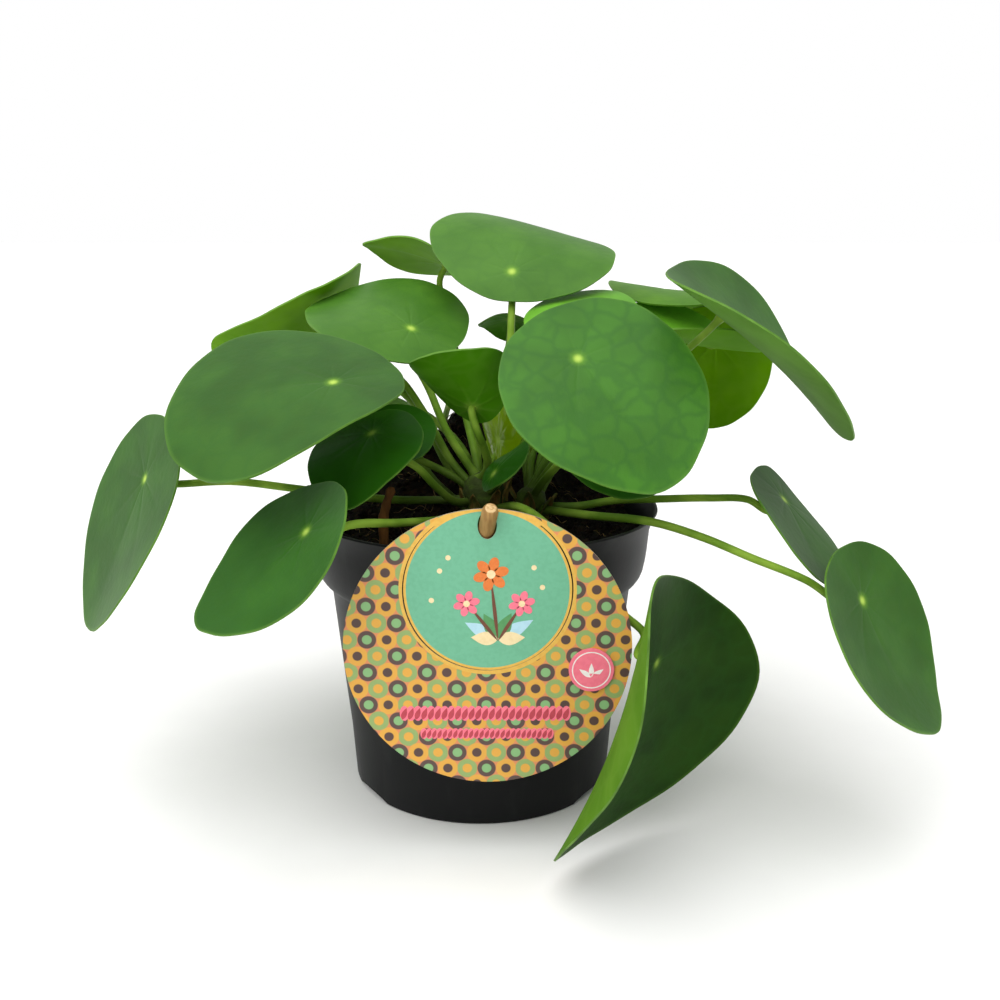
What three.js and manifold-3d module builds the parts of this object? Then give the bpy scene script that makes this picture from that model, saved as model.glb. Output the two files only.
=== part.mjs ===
// A Chinese money plant in a 12 cm nursery pot, with a round card tag on a wooden peg.
// Millimetres, +Z up, the front towards -Y. The origin is the middle of the pot's underside.
import * as THREE from 'three';
import { mergeVertices } from 'three/addons/utils/BufferGeometryUtils.js';
import Module from 'manifold-3d';

const wasm = await Module();
wasm.setup();

// Clearance kept between pieces that touch.
const GAP = 0.3;

// Pot: a thin injection-moulded nursery pot with a flared collar.
const POT_RIM_RADIUS = 60;
const POT_RIM_HEIGHT = 96.3;
const POT_BASE_RADIUS = 44.3;
const POT_WALL = 1.2;
const POT_FLOOR_TOP = 2.7;
const POT_PAD_RADIUS = 12;
const POT_CHANNEL_HEIGHT = 1.5;
const POT_CHANNEL_INNER = 14;
const POT_CHANNEL_OUTER = 37;
const POT_SIDES = 36;
const DRAIN_HOLES = 6;
const DRAIN_HOLE_RADIUS = 4.2;
const DRAIN_HOLE_SIDES = 10;
const DRAIN_CIRCLE_RADIUS = 26;
const NOTCH_ANGLES = [-147, -33, 90];
const NOTCH_HALF_WIDTH = 9.5;
const NOTCH_HEIGHT = 2.4;
const NOTCH_DEPTH = 12;
const NOTCH_SHOULDER = [0.72, 0.85];
const NOTCH_CROWN = 0.45;
const CUT_OVERRUN = 1;

// Potting soil: low behind the tag, heaped towards the back, with a mound behind the stems.
const SOIL_FRONT_HEIGHT = 88.5;
const SOIL_HEAP = 24;
const SOIL_HEAP_DIRECTION = [-0.2, 0.98];
const SOIL_REACH = 55;
const SOIL_EDGE_FALL = 0.45;
const SOIL_LUMP = 1.3;
const SOIL_WAVES = { x: 0.31, xStart: 1.2, y: 0.27, yStart: -0.6, both: 0.5, bothShare: 0.6 };
const SOIL_HEAP_POWER = 1.15;
const SOIL_EDGE_POWER = 5;
const SOIL_MOUND = { x: -4, y: 32, spread: 20, height: 19 };
const SOIL_SPOKES = 30;
const SOIL_RINGS = 6;
const SOIL_WALL_GAP = 0.45;
const SOIL_WALL_DEPTH = 6;
const SOIL_EDGE_STEP = 0.8;
const SOIL_EDGE_DROP = 3;

// Two short stems stand in the soil and carry the leaves.
const STEMS = {
  main: { x: 1, y: -8, radius: 7.5, top: 109 },
  side: { x: 17, y: -3, radius: 5.5, top: 103 },
};
const STEM_FOOT = 72;
const STEM_HOLE_TOP = 130;
const STEM_SIDES = 10;
// Width and fall below the top of each step of a stem's rounded crown, as shares of its radius.
const STEM_CROWN = [[1, 0.9], [0.82, 0.4], [0.45, 0.08], [0, 0]];

// Leaf blades: round shields, carried on a stalk that joins well inside the edge.
const BLADE_THICKNESS = 0.8;
const BLADE_SPOKES = 20;
const BLADE_RINGS = 3;
const BLADE_RIPPLE = 0.7;
const BLADE_RIPPLES = 3;
const NORMAL_STEP = 0.5;
const LEAST_BEND = 0.5;
const EDGE_WAVE = 0.012;
const EDGE_WAVES = 5;
const LEAF_PHASE_STEP = 1.7;
const END_SHARPNESS = 4;
const STALK_RADIUS = 1.3;
const STALK_SIDES = 5;
const STALK_STEPS = 9;
const ROOT_INSET = 2.5;
const STALK_SEAT = 6;

// Card tag, its punched disc, its round sticker and the wooden peg that carries it.
const TAG_RADIUS = 42.8;
const TAG_CENTRE = [2.8, 66.7];
const TAG_THICKNESS = 0.8;
const TAG_BACK = -(POT_RIM_RADIUS + GAP);
const TAG_SIDES = 56;
const DISC_RADIUS = 24.7;
const DISC_CENTRE = [2.9, 84.9];
const SLIT_WIDTH = 0.6;
const SLIT_BRIDGE_DEGREES = 76;
const SLIT_STEPS = 30;
const PEG_RADIUS = 2.4;
const PEG_SIDES = 12;
const PEG_CHAMFER = 2.5;
const PEG_END_SHARE = 0.65;
const PEG_HOLE = [2.8, 104.6];
const PEG_HOLE_HALF_WIDTH = 2.8;
const PEG_HOLE_HALF_HEIGHT = 4.1;
const PEG_HOLE_SIDES = 14;
const PEG_FOOT = [-0.2, -42.5, 86.1];
const PEG_TIP = [3.9, -67.2, 111.2];
const STICKER_RADIUS = 6.7;
const STICKER_CENTRE = [33.6, 60.4];
const STICKER_THICKNESS = 0.6;
const STICKER_SIDES = 24;

// A dry brown stalk left from an old leaf.
const TWIG_RADIUS = 1.6;
const TWIG_SIDES = 6;
const TWIG_STEPS = 8;
const TWIG_POINTS = [[-29.5, -37, 80], [-29.5, -37, 92], [-29.5, -37, 101], [-27, -36, 110.5]];

const MATERIALS = {
  pot: { color: 0x2b2d2f, roughness: 0.5 },
  soil: { color: 0x2a1d16, roughness: 1 },
  stem: { color: 0x5d6b33, roughness: 0.7 },
  leaf: { color: 0x3f8a35, roughness: 0.45 },
  youngLeaf: { color: 0x86b52f, roughness: 0.3 },
  card: { color: 0xe0a35c, roughness: 0.6 },
  sticker: { color: 0xe8506e, roughness: 0.4 },
  wood: { color: 0xb78e57, roughness: 0.8 },
  twig: { color: 0x7a5232, roughness: 0.9 },
};

// Each leaf: `at` is where the stalk meets the blade, `heading` the compass bearing of the
// tip (0 is +X, 90 is +Y), `droop` how far the tip points below level and `roll` the turn
// about the tip's own direction. `arch` and `cup` bend the blade along and across, in
// degrees from the stalk to the edge, and a negative one folds the face inwards. `twist`
// winds the blade along its length, `egg` narrows its front half, and `tip` and `heel` draw
// its two ends in to a point. `seat` is the share of the length that lies behind the stalk.
// `root` gives the stem, the bearing and the height where the stalk leaves it, and the
// angle at which it rises. `push` and `lead` say how far the stalk keeps its two end
// directions, as shares of its span, and `via` lists points that a stalk is led through.
const LEAVES = [
  { at: [10.5, 16, 173.5], heading: 69, droop: -46, length: 60, width: 67, roll: 12, arch: 36,
    cup: 6, twist: 11, egg: 0.05, heel: 0.13, tip: 0.06, seat: 0.2, via: [[6, 0, 119],
    [9.6, 7, 143], [10.4, 11, 160]], root: ['main', 75, 107, 84] },
  { at: [-13.4, 54, 174.2], heading: 187, droop: -25, length: 45, width: 42, roll: 8, arch: 17,
    cup: 9, twist: 35, egg: 0.24, heel: 0.14, tip: 0.53, via: [[-2, 0, 113.5], [-6, 12, 128],
    [-11, 44, 150]], root: ['main', 110, 103.5, 72] },
  { at: [-64.4, 60, 137.6], heading: 274, droop: -33, length: 77, width: 78, roll: 36, arch: 3,
    cup: -59, twist: -14, egg: 0.02, heel: 0.22, tip: 0.43, via: [[-10, 0, 107.6],
    [-22, 12, 127.3], [-36, 28, 135]], root: ['main', 132, 100, 66] },
  { at: [-23.3, 6, 155.2], heading: 144, droop: -31, length: 54, width: 61, roll: -12, arch: 22,
    cup: 0, twist: -5, egg: -0.04, tip: 0.19, via: [[-11, -5, 121.9], [-17, -1, 135.4]], root:
    ['main', 158, 107, 80] },
  { at: [-43, -42, 143.5], heading: 180, droop: 3, length: 74, width: 71, roll: -22, arch: 14,
    cup: 9, twist: -22, egg: -0.19, tip: 0.02, via: [[-10, -4, 112], [-19, 2, 127],
    [-27, -1, 139], [-35, -24, 140.3]], root: ['main', 195, 103, 60] },
  { at: [-110.5, -12, 107.5], heading: -156, droop: 67, length: 75, width: 73, roll: -9, arch:
    -2, cup: -8, twist: 6, egg: 0.21, heel: 0.23, tip: 0.08, via: [[-30, -10, 100],
    [-60, -10, 103.6], [-82, -11, 106.4], [-99, -12, 105.8]], root: ['main', 178, 99.5, 8] },
  { at: [-49, -64, 103.5], heading: -156, droop: 47, length: 57, width: 50, roll: -9, arch: -15,
    cup: -7, twist: -19, egg: 0.23, heel: 0.16, tip: 0.29, via: [[-12, -30, 98.2],
    [-23, -44, 100.9], [-39, -56, 102.9]], root: ['main', -140, 96, 14] },
  { at: [-33.4, -29, 125.9], heading: -115, droop: 31, length: 40, width: 39, roll: 7, arch: 19,
    cup: 5, twist: -8, egg: 0.23, heel: 0.18, tip: 0.02, via: [[-8, -17, 101], [-14, -25, 108],
    [-20, -31.5, 116]], root: ['main', -158, 99.5, 42] },
  { at: [-2, -27, 134], heading: -119, droop: -48, length: 36, width: 34, roll: 13, arch: 11,
    cup: -51, twist: 10, egg: -0.03, heel: 0.23, tip: 0.19, seat: 0.2, via: [[2.6, -15, 112],
    [1.5, -21, 119], [-0.5, -28, 126]], root: ['main', -115, 107, 78] },
  { at: [29.5, -42, 150.5], heading: -40, droop: 39, length: 67, width: 60, roll: 34, arch: 8,
    cup: -5, twist: -2, egg: 0.11, heel: 0.05, tip: 0.04, via: [[15, -14, 117], [26, -29, 138]],
    root: ['main', -20, 103.5, 62] },
  { at: [31.9, -5, 158.4], heading: 60, droop: -23, length: 45, width: 41, roll: 10, arch: 13,
    cup: 23, twist: 8, egg: 0.17, tip: 0.17, root: ['main', 45, 106.5, 76] },
  { at: [10.5, 50, 155], heading: 105, droop: 20, length: 21, width: 23, roll: 10, arch: 21,
    cup: 27, twist: 14, egg: -0.04, heel: 0.03, tip: 0.25, root: ['main', 85, 102.5, 66] },
  { at: [76, -20, 161.5], heading: -12, droop: 40, length: 78, width: 90, roll: 3, arch: 4, cup:
    -22, twist: -21, egg: 0.29, heel: 0.07, tip: 0.19, root: ['side', -10, 100.5, 60] },
  { at: [68.5, 62, 164.5], heading: -54, droop: -2, length: 56, width: 56, roll: -16, arch: 2,
    cup: 27, twist: 42, egg: 0.25, heel: 0.19, tip: 0.35, via: [[25, 18, 119], [50, 47, 143]],
    root: ['side', 60, 100.5, 62] },
  { at: [58.5, 22, 152.5], heading: -7, droop: 18, length: 57, width: 50, roll: 9, arch: -14,
    cup: -41, twist: -31, egg: -0.03, heel: 0.08, tip: 0.08, root: ['side', 32, 102, 66] },
  { at: [88.2, 55.1, 146.2], heading: 72, droop: 77, length: 48, width: 44, roll: 3, arch: 17,
    cup: 15, twist: 2, egg: 0.19, heel: 0.04, tip: 0.04, via: [[34, 13, 120], [60, 36, 142],
    [76, 47, 148.5]], root: ['side', 40, 96.5, 50] },
  { at: [5.8, -12, 120.5], heading: 57, droop: -90, length: 25, width: 23, roll: -22, arch: 7,
    cup: 19, twist: 3, heel: 0.26, tip: 0.08, young: true, root: ['main', -60, 107, 80] },
  { at: [4.5, -27.5, 112.7], heading: -4, droop: -50, length: 21, width: 19, roll: 17, arch: 14,
    cup: 20, twist: -7, egg: 0.08, heel: 0.24, tip: 0.14, root: ['main', -75, 100, 50] },
  { at: [99.5, -16, 101.5], heading: -73, droop: 34, length: 49, width: 43, roll: -33, arch: 2,
    cup: -1, twist: -1, egg: -0.14, heel: 0.11, tip: 0.05, via: [[32, -5, 96.5], [45, -7, 99],
    [60, -9, 100], [76, -11, 100.8], [88, -14, 101]], root: ['side', 0, 96.5, 10] },
  { at: [117, -48, 77.5], heading: -41, droop: 65, length: 62, width: 56, roll: 3, arch: -14,
    cup: -14, twist: -13, egg: 0.03, heel: 0.02, tip: 0.07, via: [[36, -22, 97.6],
    [54, -35, 98.8], [69, -40, 95.2], [83, -44, 90], [100, -47, 83.5]], root:
    ['side', -36, 95.5, 26] },
  { at: [52, -68, 65], heading: -147, droop: 65, length: 90, width: 93, roll: -112, arch: 8,
    cup: -43, twist: -21, egg: 0.3, heel: 0.03, tip: 0.19, via: [[12, -32, 103],
    [19, -48, 102.5], [25, -56.8, 98], [34, -56.6, 86], [43, -55.8, 76], [49.5, -57, 70]], root:
    ['main', -50, 96, 30] },
  { at: [42.5, -28, 132], heading: -41, droop: 55, length: 40, width: 45, roll: 16, arch: 7,
    cup: 31, twist: 6, egg: 0.05, heel: 0.04, tip: 0.09, root: ['side', -75, 98, 45] },
  { at: [-33.4, -9.5, 123.8], heading: -53, droop: 11, length: 31, width: 34, roll: 28, arch:
    10, cup: 10, twist: -35, egg: 0.05, heel: 0.03, tip: 0.21, root: ['main', 168, 101, 48] },
  { at: [36, 62, 132], heading: 65, droop: 30, length: 56, width: 54, root:
    ['side', 102, 100.5, 62] },
  { at: [-46, 68, 119], heading: 112, droop: 36, length: 40, width: 40, via: [[-6, 7, 113],
    [-24, 30, 124], [-38, 54, 118]], root: ['main', 118, 97.5, 66] },
  { at: [-56, 68, 86], heading: 130, droop: 62, length: 40, width: 40, via: [[-16, 1, 104],
    [-33, 34, 122], [-47, 55, 111]], root: ['main', 182, 94, 50] },
  { at: [46, 66, 114], heading: 55, droop: 40, length: 46, width: 46, root:
    ['side', 75, 94.5, 58] },
  { at: [-20, 88, 82], heading: 100, droop: 62, length: 60, width: 58, via: [[-4, 20, 122],
    [-11, 50, 126], [-17, 74, 106]], root: ['main', 88, 98.5, 70] },
  { at: [26, 92, 88], heading: 75, droop: 48, length: 54, width: 54, via: [[15, 22, 120],
    [20, 52, 123], [24, 76, 108]], root: ['side', 140, 96.5, 74] },
];
const LEAF_DEFAULTS = {
  arch: 12, cup: 12, twist: 0, roll: 0, egg: 0.06, heel: 0, tip: 0, seat: 0.29, push: 0.35,
  lead: 0.3,
};

const radians = THREE.MathUtils.degToRad;

// Solids.
function solidOf(geometry) {
  const bare = geometry.clone();
  bare.deleteAttribute('normal');
  bare.deleteAttribute('uv');
  const merged = mergeVertices(bare, 1e-4);
  return new wasm.Manifold(new wasm.Mesh({
    numProp: 3,
    vertProperties: new Float32Array(merged.attributes.position.array),
    triVerts: new Uint32Array(merged.index.array),
  }));
}

function geometryOf(solid) {
  const mesh = solid.getMesh();
  const geometry = new THREE.BufferGeometry();
  geometry.setAttribute('position', new THREE.BufferAttribute(mesh.vertProperties, 3));
  geometry.setIndex(new THREE.BufferAttribute(mesh.triVerts, 1));
  geometry.computeVertexNormals();
  return geometry;
}

function cut(geometry, ...tools) {
  return geometryOf(tools.reduce((solid, tool) => solid.subtract(solidOf(tool)), solidOf(geometry)));
}

function lathe(profile, sides) {
  const points = profile.map(([radius, height]) => new THREE.Vector2(radius, height));
  return new THREE.LatheGeometry(points, sides).rotateX(Math.PI / 2);
}

// A round bar between two points.
function bar(from, to, radius, sides) {
  const start = new THREE.Vector3(...from);
  const end = new THREE.Vector3(...to);
  const along = end.clone().sub(start);
  const geometry = new THREE.CylinderGeometry(radius, radius, along.length(), sides);
  const turn = new THREE.Quaternion().setFromUnitVectors(
    new THREE.Vector3(0, 1, 0),
    along.clone().normalize(),
  );
  geometry.applyQuaternion(turn);
  return geometry.translate(...start.add(end).multiplyScalar(0.5).toArray());
}

function tube(curve, radius, sides, steps) {
  const section = new THREE.Shape();
  for (let i = 0; i < sides; i += 1) {
    const angle = (i / sides) * 2 * Math.PI;
    const place = [radius * Math.cos(angle), radius * Math.sin(angle)];
    if (i === 0) section.moveTo(...place);
    else section.lineTo(...place);
  }
  section.closePath();
  return new THREE.ExtrudeGeometry(section, { steps, extrudePath: curve, bevelEnabled: false });
}

// A flat plate standing in the XZ plane, its back face at `back` and its front towards -Y.
function plate(shape, back, thickness) {
  const geometry = new THREE.ExtrudeGeometry(shape, { depth: thickness, bevelEnabled: false });
  return geometry.rotateX(Math.PI / 2).translate(0, back, 0);
}

function disc(centre, radiusX, radiusZ, sides) {
  const points = [];
  for (let i = 0; i < sides; i += 1) {
    const angle = (i / sides) * 2 * Math.PI;
    points.push(new THREE.Vector2(
      centre[0] + radiusX * Math.cos(angle),
      centre[1] + radiusZ * Math.sin(angle),
    ));
  }
  return points;
}

const model = new THREE.Group();

function addPiece(name, geometry, finish) {
  const material = new THREE.MeshStandardMaterial({ metalness: 0, ...MATERIALS[finish] });
  const mesh = new THREE.Mesh(geometry, material);
  mesh.name = name;
  model.add(mesh);
}

// The pot's outside, from the underside's middle to the rim.
const POT_OUTSIDE = [
  [0, 0],
  [POT_PAD_RADIUS, 0],
  [POT_CHANNEL_INNER, POT_CHANNEL_HEIGHT],
  [POT_CHANNEL_OUTER, POT_CHANNEL_HEIGHT],
  [POT_CHANNEL_OUTER + 1.5, 0],
  [POT_BASE_RADIUS - 1, 0],
  [POT_BASE_RADIUS + 0.3, 1.2],
  [45.9, 19.5],
  [49.2, 50.6],
  [51.3, 70.2],
  [54.2, 73.2],
  [55.6, 76],
  [56.6, 82],
  [57.2, 89.5],
  [58.3, 93],
  [POT_RIM_RADIUS, POT_RIM_HEIGHT],
];
// The pot's inside, from the rim down to the floor.
const POT_INSIDE = [
  [POT_RIM_RADIUS - POT_WALL, POT_RIM_HEIGHT],
  [58.3 - POT_WALL, 93],
  [57.2 - POT_WALL, 89.5],
  [56.6 - POT_WALL, 82],
  [55.6 - POT_WALL, 76.3],
  [54.2 - POT_WALL, 74],
  [51.3 - POT_WALL, 71],
  [49.2 - POT_WALL, 50.6],
  [45.9 - POT_WALL, 19.5],
  [POT_BASE_RADIUS - 0.9, POT_FLOOR_TOP + 1.4],
  [POT_BASE_RADIUS - 2.6, POT_FLOOR_TOP],
];

function makePot() {
  const body = lathe([...POT_OUTSIDE, ...POT_INSIDE, [0, POT_FLOOR_TOP]], POT_SIDES);
  const tools = [];
  for (let i = 0; i < DRAIN_HOLES; i += 1) {
    const angle = (i / DRAIN_HOLES) * 2 * Math.PI;
    const x = DRAIN_CIRCLE_RADIUS * Math.cos(angle);
    const y = DRAIN_CIRCLE_RADIUS * Math.sin(angle);
    const low = -CUT_OVERRUN;
    const high = POT_FLOOR_TOP + CUT_OVERRUN;
    tools.push(bar([x, y, low], [x, y, high], DRAIN_HOLE_RADIUS, DRAIN_HOLE_SIDES));
  }
  const arch = new THREE.Shape();
  const shoulder = [NOTCH_HALF_WIDTH * NOTCH_SHOULDER[0], NOTCH_HEIGHT * NOTCH_SHOULDER[1]];
  const crown = NOTCH_HALF_WIDTH * NOTCH_CROWN;
  arch.moveTo(-NOTCH_HALF_WIDTH, -CUT_OVERRUN);
  arch.lineTo(NOTCH_HALF_WIDTH, -CUT_OVERRUN);
  arch.lineTo(...shoulder);
  arch.lineTo(crown, NOTCH_HEIGHT);
  arch.lineTo(-crown, NOTCH_HEIGHT);
  arch.lineTo(-shoulder[0], shoulder[1]);
  arch.closePath();
  for (const angle of NOTCH_ANGLES) {
    const notch = plate(arch, -(POT_CHANNEL_OUTER - CUT_OVERRUN), NOTCH_DEPTH);
    tools.push(notch.rotateZ(radians(angle + 90)));
  }
  addPiece('pot', cut(body, ...tools), 'pot');
}

// Height of the soil's surface, with lumps that repeat by formula.
function soilHeight(x, y) {
  const back = (SOIL_HEAP_DIRECTION[0] * x + SOIL_HEAP_DIRECTION[1] * y) / SOIL_REACH;
  const waves = SOIL_WAVES;
  const ridges = Math.sin(waves.x * x + waves.xStart) * Math.cos(waves.y * y + waves.yStart);
  const lump = ridges + waves.bothShare * Math.sin(waves.both * (x + y));
  const fall = 1 - SOIL_EDGE_FALL * (Math.hypot(x, y) / SOIL_REACH) ** SOIL_EDGE_POWER;
  const heap = SOIL_HEAP * Math.max(0, back) ** SOIL_HEAP_POWER * fall;
  const away = Math.hypot(x - SOIL_MOUND.x, y - SOIL_MOUND.y) / SOIL_MOUND.spread;
  const mound = SOIL_MOUND.height * Math.exp(-(away ** 2));
  return SOIL_FRONT_HEIGHT + heap + mound + SOIL_LUMP * lump;
}

function soilRadius(height) {
  const wall = [...POT_INSIDE].reverse();
  const above = Math.max(1, wall.findIndex(([, z]) => z > height));
  const upper = height > POT_RIM_HEIGHT ? wall.length - 1 : above;
  const [r0, z0] = wall[upper - 1];
  const [r1, z1] = wall[upper];
  const share = Math.min(1, (height - z0) / (z1 - z0));
  return r0 + (r1 - r0) * share - SOIL_WALL_GAP;
}

function makeSoil() {
  const positions = [];
  const index = [];
  const wallTop = SOIL_FRONT_HEIGHT - SOIL_WALL_DEPTH;
  const levels = POT_INSIDE.map(([, z]) => z).reverse().filter((z) => z < wallTop);
  levels[0] = POT_FLOOR_TOP + GAP;
  const rows = [];
  for (const z of levels) {
    rows.push((angle) => {
      const r = soilRadius(z) - (z === levels[0] ? GAP : 0);
      return [r * Math.cos(angle), r * Math.sin(angle), z];
    });
  }
  for (let ring = SOIL_RINGS; ring >= 1; ring -= 1) {
    rows.push((angle) => {
      const edge = soilRadius(wallTop) - (ring === SOIL_RINGS ? 0 : SOIL_EDGE_STEP);
      const r = (edge * ring) / SOIL_RINGS;
      const x = r * Math.cos(angle);
      const y = r * Math.sin(angle);
      const crumble = ring === SOIL_RINGS ? SOIL_EDGE_DROP : 0;
      return [x, y, soilHeight(x, y) - crumble];
    });
  }
  positions.push(0, 0, levels[0]);
  for (const row of rows) {
    for (let i = 0; i < SOIL_SPOKES; i += 1) {
      positions.push(...row((i / SOIL_SPOKES) * 2 * Math.PI));
    }
  }
  positions.push(0, 0, soilHeight(0, 0));
  const last = positions.length / 3 - 1;
  const at = (row, spoke) => 1 + row * SOIL_SPOKES + (spoke % SOIL_SPOKES);
  for (let i = 0; i < SOIL_SPOKES; i += 1) {
    index.push(0, at(0, i + 1), at(0, i));
    for (let row = 0; row < rows.length - 1; row += 1) {
      index.push(at(row, i), at(row, i + 1), at(row + 1, i + 1));
      index.push(at(row, i), at(row + 1, i + 1), at(row + 1, i));
    }
    index.push(at(rows.length - 1, i), at(rows.length - 1, i + 1), last);
  }
  const geometry = new THREE.BufferGeometry();
  geometry.setAttribute('position', new THREE.Float32BufferAttribute(positions, 3));
  geometry.setIndex(index);
  const holes = Object.values(STEMS).map(({ x, y, radius }) => (
    bar([x, y, STEM_FOOT - GAP], [x, y, STEM_HOLE_TOP], radius + GAP, STEM_SIDES)));
  holes.push(pegSolid(GAP));
  holes.push(twigSolid(GAP));
  addPiece('soil', cut(geometry, ...holes), 'soil');
}

// A stem's solid, or with `grow` the hole that leaves a gap round it.
function stemSolid({ x, y, radius, top }, grow) {
  const r = radius + grow;
  const crown = STEM_CROWN.map(([width, fall]) => [r * width, top - radius * fall + grow]);
  const profile = [[0, STEM_FOOT - grow], [r, STEM_FOOT - grow], ...crown];
  return lathe(profile, STEM_SIDES).translate(x, y, 0);
}

function makeStems() {
  for (const [name, stem] of Object.entries(STEMS)) {
    addPiece(`stem_${name}`, stemSolid(stem, 0), 'stem');
  }
}

// A bend in radians, kept off zero so that its radius stays finite.
function bendOf(degrees) {
  return radians(Math.abs(degrees) > LEAST_BEND ? degrees : LEAST_BEND);
}

// A point of the blade's middle surface, from flat coordinates along and across it.
function bladePoint(leaf, u, v, ripple) {
  const archBend = bendOf(leaf.arch) / (leaf.length / 2);
  const cupBend = bendOf(leaf.cup) / (leaf.width / 2);
  const side = Math.sin(cupBend * v) / cupBend;
  const sag = (Math.cos(cupBend * v) - 1) / cupBend;
  const reach = (1 / archBend + sag) * Math.sin(archBend * u);
  const height = (1 / archBend + sag) * Math.cos(archBend * u) - 1 / archBend + ripple;
  const wind = (radians(leaf.twist) * reach) / leaf.length;
  return new THREE.Vector3(
    reach,
    side * Math.cos(wind) - height * Math.sin(wind),
    side * Math.sin(wind) + height * Math.cos(wind),
  );
}

// Outline of a flat blade at an angle round it: an egg with a faint wave, and with ends
// that can be drawn in.
function bladeOutline(leaf, angle) {
  const wave = 1 + EDGE_WAVE * Math.sin(EDGE_WAVES * angle + leaf.phase);
  const ahead = ((1 + Math.cos(angle)) / 2) ** END_SHARPNESS;
  const behind = ((1 - Math.cos(angle)) / 2) ** END_SHARPNESS;
  const pinch = 1 - leaf.tip * ahead - leaf.heel * behind;
  const u = leaf.length * (0.5 - leaf.seat) + (leaf.length / 2) * Math.cos(angle) * wave;
  const v = (leaf.width / 2) * Math.sin(angle) * (1 - leaf.egg * Math.cos(angle)) * pinch * wave;
  return [u, v];
}

function bladeFrame(leaf) {
  const turn = new THREE.Matrix4().makeRotationZ(radians(leaf.heading));
  turn.multiply(new THREE.Matrix4().makeRotationY(radians(leaf.droop)));
  turn.multiply(new THREE.Matrix4().makeRotationX(radians(leaf.roll)));
  return turn.setPosition(...leaf.at);
}

function makeBlade(leaf) {
  const spots = [[0, 0, 0]];
  for (let ring = 1; ring <= BLADE_RINGS; ring += 1) {
    const share = ring / BLADE_RINGS;
    for (let i = 0; i < BLADE_SPOKES; i += 1) {
      const angle = (i / BLADE_SPOKES) * 2 * Math.PI;
      const [u, v] = bladeOutline(leaf, angle);
      const ripple = BLADE_RIPPLE * share ** 2 * Math.sin(BLADE_RIPPLES * angle + 2 * leaf.phase);
      spots.push([u * share, v * share, ripple]);
    }
  }
  const frame = bladeFrame(leaf);
  const faces = [1, -1].map((side) => spots.map(([u, v, ripple]) => {
    const point = bladePoint(leaf, u, v, ripple);
    const alongU = bladePoint(leaf, u + NORMAL_STEP, v, ripple).sub(point);
    const alongV = bladePoint(leaf, u, v + NORMAL_STEP, ripple).sub(point);
    const normal = alongU.cross(alongV).normalize();
    return point.addScaledVector(normal, (side * BLADE_THICKNESS) / 2).applyMatrix4(frame);
  }));
  const count = spots.length;
  const at = (ring, spoke) => 1 + (ring - 1) * BLADE_SPOKES + (spoke % BLADE_SPOKES);
  const index = [];
  const both = (a, b, c) => index.push(a, b, c, count + a, count + c, count + b);
  for (let i = 0; i < BLADE_SPOKES; i += 1) {
    both(0, at(1, i), at(1, i + 1));
    for (let ring = 1; ring < BLADE_RINGS; ring += 1) {
      both(at(ring, i), at(ring + 1, i), at(ring + 1, i + 1));
      both(at(ring, i), at(ring + 1, i + 1), at(ring, i + 1));
    }
    const near = at(BLADE_RINGS, i);
    const next = at(BLADE_RINGS, i + 1);
    index.push(near, count + near, count + next, near, count + next, next);
  }
  const geometry = new THREE.BufferGeometry().setFromPoints(faces.flat());
  geometry.setIndex(index);
  return geometry;
}

// The stalk's curve: it leaves the stem at its rise and meets the blade square from below.
function stalkCurve(leaf) {
  const [stemName, bearing, height, rise] = leaf.root;
  const stem = STEMS[stemName];
  const outward = new THREE.Vector3(Math.cos(radians(bearing)), Math.sin(radians(bearing)), 0);
  const start = new THREE.Vector3(stem.x, stem.y, height);
  start.addScaledVector(outward, stem.radius - ROOT_INSET);
  const end = new THREE.Vector3(...leaf.at);
  const down = new THREE.Vector3(0, 0, -1).transformDirection(bladeFrame(leaf));
  if (leaf.via) {
    const points = leaf.via.map((point) => new THREE.Vector3(...point));
    const under = end.clone().addScaledVector(down, STALK_SEAT);
    return new THREE.CatmullRomCurve3([start, ...points, under, end]);
  }
  const span = start.distanceTo(end);
  const climb = outward.multiplyScalar(Math.cos(radians(rise)));
  climb.z = Math.sin(radians(rise));
  const near = start.clone().addScaledVector(climb, leaf.push * span);
  const far = end.clone().addScaledVector(down, leaf.lead * span);
  return new THREE.CubicBezierCurve3(start, near, far, end);
}

function makeLeaf(data, number) {
  const leaf = { ...LEAF_DEFAULTS, phase: number * LEAF_PHASE_STEP, ...data };
  const stalk = solidOf(tube(stalkCurve(leaf), STALK_RADIUS, STALK_SIDES, STALK_STEPS));
  const whole = solidOf(makeBlade(leaf)).add(stalk);
  const stem = solidOf(stemSolid(STEMS[leaf.root[0]], GAP));
  const name = `leaf_${String(number + 1).padStart(2, '0')}`;
  addPiece(name, geometryOf(whole.subtract(stem)), leaf.young ? 'youngLeaf' : 'leaf');
}

function pegSolid(grow) {
  const foot = new THREE.Vector3(...PEG_FOOT);
  const tip = new THREE.Vector3(...PEG_TIP);
  const along = tip.clone().sub(foot);
  const length = along.length();
  const r = PEG_RADIUS + grow;
  const profile = [
    [0, -grow],
    [r, -grow],
    [r, length - PEG_CHAMFER],
    [r * PEG_END_SHARE, length + grow],
    [0, length + grow],
  ];
  const geometry = lathe(profile, PEG_SIDES);
  const turn = new THREE.Quaternion().setFromUnitVectors(
    new THREE.Vector3(0, 0, 1),
    along.normalize(),
  );
  geometry.applyQuaternion(turn);
  return geometry.translate(...foot.toArray());
}

function twigSolid(grow) {
  const curve = new THREE.CatmullRomCurve3(TWIG_POINTS.map((point) => new THREE.Vector3(...point)));
  return tube(curve, TWIG_RADIUS + grow, TWIG_SIDES, TWIG_STEPS);
}

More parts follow.
